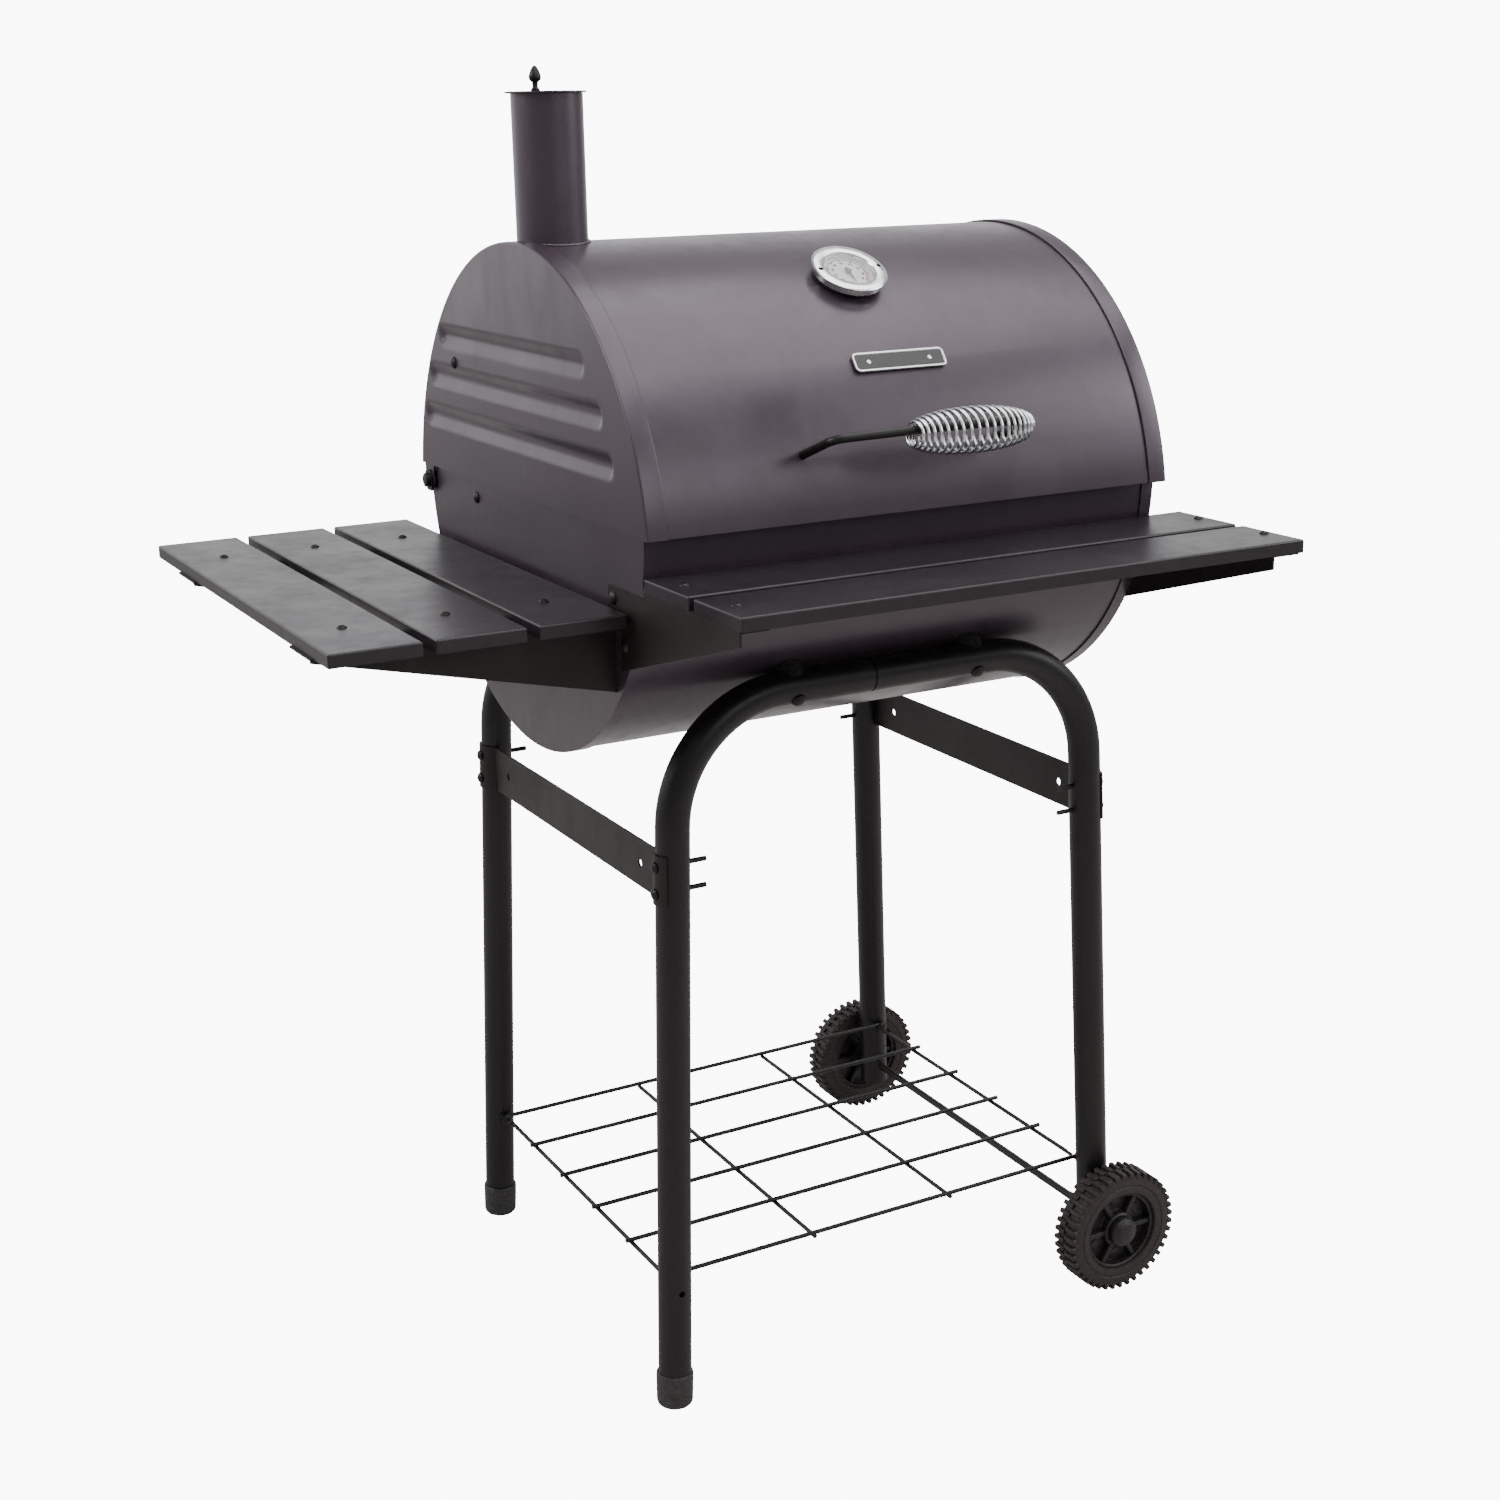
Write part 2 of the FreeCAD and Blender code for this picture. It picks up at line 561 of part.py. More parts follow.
def build_thermometer():
    case = dial_rod(3.0, 10.2, BEZEL_RADIUS - 2).fuse(dial_rod(10.2, 13.0, BEZEL_RADIUS))
    case = case.cut(dial_rod(5.5, 14.0, 24.0)).removeSplitter()
    nodes["thermometer_case"] = case.cut(dial_rod(2.0, 6.5, 5.0 + CLEAR))
    nodes["thermometer_dial"] = dial_rod(5.5, 6.5, 24.0 - CLEAR).cut(dial_rod(4.5, 7.5, 1.2 + CLEAR))
    nodes["thermometer_glass"] = dial_rod(10.2, 11.8, 24.0 - CLEAR)
    stem = fused([dial_rod(-62.0, -12.0, 2.6), dial_rod(-12.0, 4.7, 5.0)])
    nodes["thermometer_stem"] = stem
    turn = math.radians(THERMOMETER_TILT)
    downhill = Vector(0, -math.cos(turn), -math.sin(turn))
    centre = on_lid(THERMOMETER_TILT, THERMOMETER_X, 7.7)
    tip = centre + downhill * 17
    tail = centre - downhill * 6
    side = ALONG_X * 1.6
    blade = Part.Face(Part.makePolygon([tail - side, tip, tail + side, tail - side]))
    blade = blade.extrude(lid_normal(THERMOMETER_TILT) * 0.8)
    nodes["thermometer_needle"] = fused([blade, dial_rod(6.1, 9.5, 1.2), dial_rod(7.7, 9.5, 2.6)])


# ------------------------------------------------------------------ legs, braces, foot caps
def leg_path(side_x, side_y, end_z, end_x):
    corner = Vector(side_x * LEG_TOP_X, side_y * LEG_TOP_Y, LEG_TOP_Z)
    foot = leg_point(side_x, side_y, end_z)
    return [foot, corner, Vector(end_x, side_y * LEG_TOP_Y, LEG_TOP_Z)]


def brace_bolt_holes(side_x, side_y):
    holes = []
    for dz in (-BRACE_BOLT_SPREAD, BRACE_BOLT_SPREAD):
        centre = leg_point(side_x, side_y, BRACE_Z + dz)
        holes.append(rod(centre - ALONG_X * 30, centre + ALONG_X * 30, BRACE_BOLT_RADIUS + CLEAR))
    return holes


def leg(side_x, side_y):
    end_z = WHEEL_LEG_END_Z if side_x > 0 else 2.5
    path = leg_path(side_x, side_y, end_z, TUBE_JOINT_X + (TUBE_JOINT_GAP if side_x > 0 else 0))
    bore = [path[0] + (path[0] - path[1]).normalize() * 2, path[1], path[2] + ALONG_X * side_x * -2]
    whole = bent_rod(path, (TUBE_BEND,), TUBE_RADIUS)
    whole = whole.cut(bent_rod(bore, (TUBE_BEND,), TUBE_RADIUS - TUBE_WALL))
    if side_x < 0:
        y = side_y * LEG_TOP_Y
        snug = TUBE_RADIUS - TUBE_WALL - CLEAR
        spigot = tube(Vector(TUBE_JOINT_X - 6, y, LEG_TOP_Z),
                      Vector(TUBE_JOINT_X + SPIGOT_LENGTH, y, LEG_TOP_Z),
                      snug, snug - TUBE_WALL)
        collar = tube(Vector(TUBE_JOINT_X - 6, y, LEG_TOP_Z), Vector(TUBE_JOINT_X - 1, y, LEG_TOP_Z),
                      TUBE_RADIUS - TUBE_WALL / 2, snug - 0.5)
        whole = fused([whole, collar, spigot])
    holes = brace_bolt_holes(side_x, side_y)
    holes += [saddle_hole(x, side_y) for x in SADDLE_XS]
    at_rack = leg_point(side_x, side_y, LOWER_RACK_Z)
    holes.append(rod(at_rack - ALONG_Y * 30, at_rack + ALONG_Y * 30, RACK_BOLT_RADIUS + CLEAR))
    if side_x > 0:
        at_axle = Vector(AXLE_X, side_y * 200, AXLE_Z)
        holes.append(rod(at_axle, Vector(AXLE_X, side_y * 240, AXLE_Z), AXLE_RADIUS + CLEAR))
    return drilled(whole, holes)


def build_legs():
    names = {(-1, -1): "leg_front_left", (1, -1): "leg_front_right",
             (-1, 1): "leg_rear_left", (1, 1): "leg_rear_right"}
    for (side_x, side_y), name in names.items():
        nodes[name] = leg(side_x, side_y)
    caps = []
    for side_y in SIDES:
        low = leg_point(-1, side_y, 0.0)
        high = leg_point(-1, side_y, FOOT_HEIGHT)
        sole = leg_point(-1, side_y, 2.5 - CLEAR)
        flat = box(low.x - 60, low.x + 60, low.y - 60, low.y + 60, 0, FOOT_HEIGHT + 2)
        over = (high - low).normalize() * 3
        outer = rod(low - over, high, TUBE_RADIUS + 2.2).common(flat)
        caps.append(outer.cut(rod(sole, high + over, TUBE_RADIUS + CLEAR)))
    nodes["foot_caps"] = group(caps)


def saddle(x, side_y):
    """The shaped spacer between a leg's top run and the firebox."""
    centre, inwards = saddle_frame(x, side_y)
    block = rod(centre, centre + inwards * 30, SADDLE_RADIUS)
    half = SADDLE_LENGTH / 2
    block = block.common(box(x - half, x + half, -FIREBOX_RADIUS, FIREBOX_RADIUS, 0, FIREBOX_AXIS_Z))
    block = block.cut(x_rod(x - 20, x + 20, centre.y, LEG_TOP_Z, TUBE_RADIUS + CLEAR))
    block = block.cut(x_rod(x - 20, x + 20, 0, FIREBOX_AXIS_Z, FIREBOX_RADIUS + CLEAR))
    return block.cut(saddle_hole(x, side_y))


def build_saddles():
    blocks = []
    for x in SADDLE_XS:
        for side_y in SIDES:
            blocks.append(saddle(x, side_y))
    nodes["leg_saddles"] = group(blocks)
    nodes["leg_bolts"] = group(saddle_bolts())


def brace_ear(side_x, side_y):
    """The end of a brace, rolled round the outer side of the leg."""
    low = leg_point(side_x, side_y, BRACE_Z - BRACE_HEIGHT / 2)
    high = leg_point(side_x, side_y, BRACE_Z + BRACE_HEIGHT / 2)
    ring = tube(low, high, TUBE_RADIUS + CLEAR + PLATE, TUBE_RADIUS + CLEAR)
    centre = leg_point(side_x, side_y, BRACE_Z)
    keep = []
    for degrees in (104, 227):
        turn = math.radians(degrees)
        keep.append(Vector(side_x * -math.cos(turn) * 60, side_y * -math.sin(turn) * 60, 0))
    middle = math.radians((104 + 227) / 2)
    far = Vector(side_x * -math.cos(middle) * 90, side_y * -math.sin(middle) * 90, 0)
    base = centre - ALONG_Z * 40
    wedge = Part.Face(Part.makePolygon([base, base + keep[0], base + far, base + keep[1], base]))
    return ring.common(wedge.extrude(ALONG_Z * 80))


def build_braces():
    for side_x, name in ((-1, "brace_left"), (1, "brace_right")):
        leg_centre = leg_point(side_x, 1, BRACE_Z)
        offset = BRACE_X - abs(leg_centre.x)
        reach = leg_centre.y - math.sqrt(TUBE_RADIUS ** 2 - offset ** 2) - 0.6
        bar = box(side_x * (BRACE_X - PLATE / 2), side_x * (BRACE_X + PLATE / 2), -reach, reach,
                  BRACE_Z - BRACE_HEIGHT / 2, BRACE_Z + BRACE_HEIGHT / 2)
        whole = fused([bar, brace_ear(side_x, -1), brace_ear(side_x, 1)])
        whole = drilled(whole, [leg_bore(side_x, side_y) for side_y in SIDES])
        holes = [x_rod(-300, 300, y, BRACE_Z, BRACE_HOLE_RADIUS) for y in (-BRACE_HOLE_Y, BRACE_HOLE_Y)]
        for side_y in SIDES:
            holes += brace_bolt_holes(side_x, side_y)
        nodes[name] = drilled(whole, holes)
    bolts = []
    for side_x in SIDES:
        for side_y in SIDES:
            for dz in (-BRACE_BOLT_SPREAD, BRACE_BOLT_SPREAD):
                centre = leg_point(side_x, side_y, BRACE_Z + dz)
                seat = centre + ALONG_X * side_x * (TUBE_RADIUS + PLATE + 0.4)
                bolts.append(bolt(seat, Vector(-side_x, 0, 0), BRACE_BOLT_RADIUS, BRACE_BOLT_LENGTH,
                                  5.5, 3.0))
    nodes["brace_bolts"] = group(bolts)


def leg_bore(side_x, side_y):
    low = leg_point(side_x, side_y, BRACE_Z - 60)
    high = leg_point(side_x, side_y, BRACE_Z + 60)
    return rod(low, high, TUBE_RADIUS + CLEAR)


# ------------------------------------------------------------------ lower rack
def build_lower_rack():
    wire = LOWER_RACK_WIRE
    reach_x = abs(LOWER_RACK_XS[0]) + 7
    wires = []
    for y in LOWER_RACK_YS:
        wires.append(x_rod(-reach_x, reach_x, y, LOWER_RACK_Z + wire, wire))
    reach_y = abs(LOWER_RACK_YS[0]) + 1
    for x in LOWER_RACK_XS:
        wires.append(rod(Vector(x, -reach_y, LOWER_RACK_Z - wire + 0.4),
                         Vector(x, reach_y, LOWER_RACK_Z - wire + 0.4), wire))
    for side_x in SIDES:
        for side_y in SIDES:
            centre = leg_point(side_x, side_y, LOWER_RACK_Z)
            face = centre.y - side_y * (TUBE_RADIUS + GAP)
            wires.append(tube(Vector(centre.x, face, LOWER_RACK_Z),
                              Vector(centre.x, face - side_y * 3.6, LOWER_RACK_Z),
                              RACK_EYE_RADIUS, RACK_BOLT_RADIUS + CLEAR))
    nodes["lower_rack"] = drilled(fused(wires), rack_bolt_bores())
    bolts = []
    for side_x in SIDES:
        for side_y in SIDES:
            centre = leg_point(side_x, side_y, LOWER_RACK_Z)
            seat = Vector(centre.x, centre.y - side_y * (TUBE_RADIUS + GAP + RACK_EYE_DEPTH), LOWER_RACK_Z)
            bolts.append(bolt(seat, Vector(0, side_y, 0), RACK_BOLT_RADIUS, 32.0, 6.0, 3.0))
    nodes["lower_rack_bolts"] = group(bolts)


def rack_bolt_bores():
    bores = []
    for side_x in SIDES:
        for side_y in SIDES:
            centre = leg_point(side_x, side_y, LOWER_RACK_Z)
            bores.append(rod(Vector(centre.x, centre.y - side_y * 40, LOWER_RACK_Z),
                             Vector(centre.x, centre.y, LOWER_RACK_Z), RACK_BOLT_RADIUS + CLEAR))
            head_y = centre.y - side_y * (TUBE_RADIUS + GAP + RACK_EYE_DEPTH)
            bores.append(rod(Vector(centre.x, head_y, LOWER_RACK_Z),
                             Vector(centre.x, head_y - side_y * 6, LOWER_RACK_Z), 6.5))
    return bores


# ------------------------------------------------------------------ wheels and axle
def wheel(side_y):
    inner = side_y * WHEEL_INNER_Y
    outer = side_y * (WHEEL_INNER_Y + WHEEL_WIDTH)
    middle = (inner + outer) / 2

    def ring(y0, y1, big, small):
        return tube(Vector(AXLE_X, y0, AXLE_Z), Vector(AXLE_X, y1, AXLE_Z), big, small)

    tyre = ring(inner, outer, WHEEL_RADIUS, 42.0)
    round_edges = [e for e in tyre.Edges
                   if abs(e.BoundBox.XLength - 2 * WHEEL_RADIUS) < 0.5 and e.BoundBox.YLength < 1]
    tyre = tyre.makeFillet(4.0, round_edges)
    hub = ring(inner - side_y * 0.5, outer - side_y * 3, 17.0, AXLE_RADIUS + CLEAR)
    web = ring(middle - 3, middle + 3, 43.0, 16.0)
    windows = []
    for step in range(WHEEL_SPOKES):
        turn = math.radians(30 + 360 * step / WHEEL_SPOKES)
        x = AXLE_X + 30.5 * math.cos(turn)
        z = AXLE_Z + 30.5 * math.sin(turn)
        windows.append(rod(Vector(x, middle - 9, z), Vector(x, middle + 9, z), 8.5))
    spokes = []
    for step in range(WHEEL_SPOKES):
        bar = box(AXLE_X + 15, AXLE_X + 43, middle - 10, middle + 10, AXLE_Z - 2.5, AXLE_Z + 2.5)
        bar.rotate(Vector(AXLE_X, 0, AXLE_Z), ALONG_Y, 360 * step / WHEEL_SPOKES)
        spokes.append(bar)
    return fused([tyre, hub, drilled(web, windows)] + spokes)


def hub_cap(side_y):
    face = side_y * (WHEEL_INNER_Y + WHEEL_WIDTH - 3)
    dome = Part.makeSphere(21.0, Vector(AXLE_X, face + side_y * (11.0 - 21.0), AXLE_Z))
    shell = rod(Vector(AXLE_X, face, AXLE_Z), Vector(AXLE_X, face + side_y * 11, AXLE_Z), 16.0).common(dome)
    inside = rod(Vector(AXLE_X, face - side_y, AXLE_Z), Vector(AXLE_X, face + side_y * 8, AXLE_Z), 10.0)
    return shell.cut(inside)


def build_wheels():
    for side_y, name in ((-1, "front"), (1, "rear")):
        nodes["wheel_" + name] = wheel(side_y)
        nodes["hub_cap_" + name] = hub_cap(side_y)
    nodes["axle"] = rod(Vector(AXLE_X, -AXLE_HALF, AXLE_Z), Vector(AXLE_X, AXLE_HALF, AXLE_Z), AXLE_RADIUS)
    rings = []
    for side_y in SIDES:
        for near, far, radius in ((235.4, 237.1, 9.0), (267.4, 269.6, 7.5)):
            rings.append(tube(Vector(AXLE_X, side_y * near, AXLE_Z), Vector(AXLE_X, side_y * far, AXLE_Z),
                              radius, AXLE_RADIUS + CLEAR / 5))
    nodes["axle_washers"] = group(rings)


# ------------------------------------------------------------------ shelves
def folded_slat(x0, x1, y0, y1, top, screws):
    """A slat folded down on all four sides, open underneath."""
    outer = box(x0, x1, y0, y1, top - SLAT_THICK, top)
    soft = [e for e in outer.Edges if max(e.BoundBox.ZMin, e.BoundBox.ZMax) > top - SLAT_THICK + 0.1]
    outer = outer.makeFillet(1.8, soft)
    low_x, high_x = sorted((x0, x1))
    low_y, high_y = sorted((y0, y1))
    pocket = box(low_x + SHEET, high_x - SHEET, low_y + SHEET, high_y - SHEET,
                 top - SLAT_THICK - 1, top - SHEET)
    holes = [rod(Vector(x, y, top - 20), Vector(x, y, top + 1), SCREW_RADIUS + CLEAR) for x, y in screws]
    return drilled(outer.cut(pocket), holes)


def front_bracket(side):
    inner_x = side * FIREBOX_END_X
    outer_x = side * (FIREBOX_END_X + PLATE)
    under = FRONT_SLAT_TOP - SLAT_THICK
    front = FRONT_SLATS[1][1] + 4
    profile = ((-180, 800), (-180, 778), (-203, 770), (-203, 727), (front, under - 13), (front, under),
               (-252, under), (-252, 800))
    plate = plate_x(profile, inner_x, outer_x)
    flange_end = FRONT_LEFT_X + 27 if side < 0 else FRONT_RIGHT_X - 3
    flange = box(inner_x, flange_end, front, -252, under - PLATE, under)
    holes = [x_rod(outer_x + side, inner_x - side, y, z, BOLT_RADIUS + CLEAR)
             for y, z in FRONT_BRACKET_BOLTS]
    screw_x = FRONT_SCREW_XS[0] if side < 0 else FRONT_SCREW_XS[1]
    for y0, y1 in FRONT_SLATS:
        y = (y0 + y1) / 2
        foot = Vector(screw_x, y, under - 5)
        holes.append(rod(foot, foot + ALONG_Z * 6, SCREW_RADIUS + CLEAR))
    return drilled(fused([plate, flange]), holes)


def side_bracket_bolts():
    return [(y + SIDE_BRACKET_BOLT, z) for y in SIDE_BRACKET_YS for z in SIDE_BRACKET_BOLT_ZS]


def side_bracket(y):
    """A three-cornered bracket with its flanges to the back."""
    under = SIDE_SLAT_TOP - SLAT_THICK
    wall = -FIREBOX_END_X
    tip = SIDE_BRACKET_TIP_X
    plate = plate_y(((tip, under), (wall, under), (wall, SIDE_BRACKET_FOOT), (tip, under - 4)), y, y + PLATE)
    top = box(tip, wall, y, y + SIDE_BRACKET_SCREW + 12, under - PLATE, under)
    back = box(wall - PLATE, wall, y, y + SIDE_BRACKET_BOLT + 12, SIDE_BRACKET_FOOT, under)
    holes = []
    for x0, x1 in SIDE_SLATS:
        foot = Vector((x0 + x1) / 2, y + SIDE_BRACKET_SCREW, under - 5)
        holes.append(rod(foot, foot + ALONG_Z * 6, SCREW_RADIUS + CLEAR))
    holes += [x_rod(wall + 1, wall - PLATE - 1, y + SIDE_BRACKET_BOLT, z, BOLT_RADIUS + CLEAR)
              for z in SIDE_BRACKET_BOLT_ZS]
    return drilled(fused([plate, top, back]), holes)


def shelf_screw(x, y, top):
    head = Vector(x, y, top)
    return bolt(head, Vector(0, 0, -1), SCREW_RADIUS, SLAT_THICK + 9, 4.6, 2.4,
                nut_at=SLAT_THICK + PLATE, nut_height=4.0)


def bracket_bolt(seat, inwards):
    return bolt(seat, inwards, BOLT_RADIUS, 10.0, 6.0, 3.2, nut_at=PLATE + SHEET, nut_height=4.5)


def build_shelves():
    screws = []
    for number, (y0, y1) in enumerate(FRONT_SLATS):
        spots = [(x, (y0 + y1) / 2) for x in FRONT_SCREW_XS]
        name = ("front_slat_inner", "front_slat_outer")[number]
        nodes[name] = folded_slat(FRONT_LEFT_X, FRONT_RIGHT_X, y0, y1, FRONT_SLAT_TOP, spots)
        screws += [shelf_screw(x, y, FRONT_SLAT_TOP) for x, y in spots]
    for number, (x0, x1) in enumerate(SIDE_SLATS):
        spots = [((x0 + x1) / 2, y + SIDE_BRACKET_SCREW) for y in SIDE_BRACKET_YS]
        name = ("side_slat_outer", "side_slat_middle", "side_slat_inner")[number]
        nodes[name] = folded_slat(x0, x1, SIDE_FRONT_Y, SIDE_BACK_Y, SIDE_SLAT_TOP, spots)
        screws += [shelf_screw(x, y, SIDE_SLAT_TOP) for x, y in spots]
    nodes["shelf_screws"] = group(screws)
    nodes["front_bracket_left"] = front_bracket(-1)
    nodes["front_bracket_right"] = front_bracket(1)
    nodes["side_bracket_front"] = side_bracket(SIDE_BRACKET_YS[0])
    nodes["side_bracket_rear"] = side_bracket(SIDE_BRACKET_YS[1])
    bolts = []
    for side in SIDES:
        for y, z in FRONT_BRACKET_BOLTS:
            seat = Vector(side * (FIREBOX_END_X + PLATE), y, z)
            bolts.append(bracket_bolt(seat, Vector(-side, 0, 0)))
    for y, z in side_bracket_bolts():
        seat = Vector(-FIREBOX_END_X - PLATE, y, z)
        bolts.append(bracket_bolt(seat, ALONG_X))
    nodes["bracket_bolts"] = group(bolts)


# ------------------------------------------------------------------ grates inside the firebox
def ledge(side, y, top, depth):
    wall = side * (FIREBOX_END_X - SHEET)
    upright = box(wall, wall - side * 1.5, y - 15, y + 15, top - 24, top)
    shelf = box(wall, wall - side * depth, y - 15, y + 15, top - 1.5, top)
    return fused([upright, shelf])


def build_grates():
    levels = (("cooking", (-170.0, 75.0), GRATE_Z, 26.0), ("fire", (-80.0, 80.0), FIRE_GRATE_Z, 32.0))
    for level, ys, top, depth in levels:
        nodes[level + "_grate_ledges"] = group([ledge(side, y, top, depth) for y in ys for side in SIDES])
    for side, word in ((-1, "left"), (1, "right")):
        nodes["cooking_grate_" + word] = cooking_grate(side)
    nodes["fire_grate"] = fire_grate()


def cooking_grate(side):
    bar = 2.5
    near = 2.0
    far = 249.0
    half_y = 232.0
    low = GRATE_Z + 3.0
    wires = [x_rod(side * near, side * far, y, low, 3.0) for y in (-half_y + 6, -80.0, 80.0, half_y - 6)]
    count = 17
    step = (far - near - 6) / (count - 1)
    for number in range(count):
        x = side * (near + 3 + step * number)
        wires.append(rod(Vector(x, -half_y, low + 4.6), Vector(x, half_y, low + 4.6), bar))
    return fused(wires)


def fire_grate():
    low = FIRE_GRATE_Z + 3.0
    wires = [rod(Vector(x, -186, low), Vector(x, 186, low), 3.0) for x in (-238, -120, 0, 120, 238)]
    count = 16
    for number in range(count):
        y = -180 + 360 * number / (count - 1)
        wires.append(x_rod(-246, 246, y, low + 5.2, 3.0))
    return fused(wires)


# ------------------------------------------------------------------ warming rack and its linkage
def rack_eye(side, y, z):
    return tube(Vector(side * 264.5, y, z), Vector(side * 259.5, y, z), 9.0, RACK_PIN_RADIUS + CLEAR)


def build_warming_rack():
    lid_y = HINGE_Y - RACK_LINK_Y
    lid_z = HINGE_Z + RACK_LINK_Z
    top_y = RACK_LEG_Y - RACK_LINK_Y
    top_z = RACK_LEG_Z + RACK_LINK_Z
    arm_x = 262.0
    rest_z = top_z + 5.6
    wires = []
    front_y = -36.0
    for y, reach in ((front_y, 252.0), (lid_y, 263.0)):
        wires.append(x_rod(-reach, reach, y, rest_z + 3.4, 2.2))
    for number in range(23):
        x = -251 + 502 * number / 22
        wires.append(rod(Vector(x, front_y, rest_z), Vector(x, lid_y, rest_z), 2.0))
    for side in SIDES:
        wires.append(rack_eye(side, lid_y, lid_z))
    for x in (-200.0, 200.0):
        clip = tube(Vector(x - 4, top_y, top_z), Vector(x + 4, top_y, top_z), 4.4, 2.5 + GAP)
        opening = box(x - 5, x + 5, top_y - 6, top_y + 6, top_z - 8, top_z - 2.0)
        bridge = box(x - 26, x + 26, top_y - 3, top_y + 3, rest_z - 1.4, rest_z + 1.0)
        wires += [clip.cut(opening), bridge]
    cross_space = x_rod(-255, 255, top_y, top_z, 2.5 + GAP)
    nodes["warming_rack"] = fused(wires).cut(cross_space)
    arms = []
    legs = [Vector(-arm_x, RACK_LEG_Y, RACK_LEG_Z), Vector(-arm_x, top_y, top_z),
            Vector(arm_x, top_y, top_z), Vector(arm_x, RACK_LEG_Y, RACK_LEG_Z)]
    arms.append(bent_rod(legs, (7.0, 7.0), 2.5))
    for side in SIDES:
        arms.append(rack_eye(side, RACK_LEG_Y, RACK_LEG_Z))
    bores = [x_rod(side * 255, side * 267, RACK_LEG_Y, RACK_LEG_Z, RACK_PIN_RADIUS + CLEAR)
             for side in SIDES]
    nodes["warming_rack_legs"] = drilled(fused(arms), bores)
    sets = (("rack_lid_bolts", lid_y, lid_z, LID_END_X),
            ("rack_leg_bolts", RACK_LEG_Y, RACK_LEG_Z, FIREBOX_END_X))
    for name, y, z, face in sets:
        pins = []
        for side in SIDES:
            seat = Vector(side * face, y, z)
            pin = bolt(seat, Vector(-side, 0, 0), RACK_PIN_RADIUS, face - 256.0, 6.0, 3.4)
            keeper = x_rod(side * (259.5 - GAP), side * 257.0, y, z, 4.4)
            pins.append(fused([pin, keeper]))
        nodes[name] = group(pins)


# ------------------------------------------------------------------ build and write
def write_nodes():
    os.makedirs("parts", exist_ok=True)
    for name, shape in sorted(nodes.items()):
        placed = shape.copy()
        placed.translate(Vector(-CENTRE_X, -CENTRE_Y, 0))
        if not placed.isValid():
            print("not valid:", name)
        placed.exportStep("parts/" + name + ".step")
        span = placed.BoundBox
        print("%-26s %2d solid(s) %9.1f cm3  x %7.1f %7.1f  y %7.1f %7.1f  z %7.1f %7.1f" % (
            name, len(placed.Solids), placed.Volume / 1000, span.XMin, span.XMax,
            span.YMin, span.YMax, span.ZMin, span.ZMax))
    print(len(nodes), "nodes, origin at", CENTRE_X, CENTRE_Y)


build_firebox()
build_air_vent()
build_lid()
build_hinge_pins()
build_name_plate()
build_stack()
build_handle()
build_thermometer()
build_legs()
build_saddles()
build_braces()
build_lower_rack()
build_wheels()
build_shelves()
build_grates()
build_warming_rack()
write_nodes()
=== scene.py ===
import math

import bmesh
import bpy
from mathutils import Matrix, Vector


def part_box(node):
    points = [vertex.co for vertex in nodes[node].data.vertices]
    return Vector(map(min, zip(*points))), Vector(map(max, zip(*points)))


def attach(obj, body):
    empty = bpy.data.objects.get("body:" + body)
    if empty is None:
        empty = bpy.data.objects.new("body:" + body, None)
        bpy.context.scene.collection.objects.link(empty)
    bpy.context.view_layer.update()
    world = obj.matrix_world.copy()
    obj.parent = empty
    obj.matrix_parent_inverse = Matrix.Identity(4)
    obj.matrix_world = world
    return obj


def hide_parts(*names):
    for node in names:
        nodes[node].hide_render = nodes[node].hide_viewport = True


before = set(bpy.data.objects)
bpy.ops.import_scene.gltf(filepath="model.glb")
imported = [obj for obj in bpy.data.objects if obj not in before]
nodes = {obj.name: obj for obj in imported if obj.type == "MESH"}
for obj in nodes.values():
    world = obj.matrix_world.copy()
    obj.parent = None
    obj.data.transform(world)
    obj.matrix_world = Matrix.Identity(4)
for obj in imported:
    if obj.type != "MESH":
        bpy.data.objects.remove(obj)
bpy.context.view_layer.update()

# ------------------------------------------------------------------ sizes, in metres
MM = 0.001
LID_AXIS_Z = 815.5 * MM
LID_RADIUS = 266.4 * MM

middle_low, middle_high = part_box("firebox_shell")
BARREL_X = (middle_low.x + middle_high.x) / 2
BARREL_Y = (middle_low.y + middle_high.y) / 2
RIGHT = Vector((1, 0, 0))


# ------------------------------------------------------------------ node groups and materials
def new_group(name, inputs, outputs):
    tree = bpy.data.node_groups.new(name, "ShaderNodeTree")
    for label, kind, value in inputs:
        socket = tree.interface.new_socket(name=label, in_out="INPUT", socket_type=kind)
        socket.default_value = value
    for label, kind in outputs:
        tree.interface.new_socket(name=label, in_out="OUTPUT", socket_type=kind)
    return tree, Wiring(tree, "NodeGroupInput"), tree.nodes.new("NodeGroupOutput")


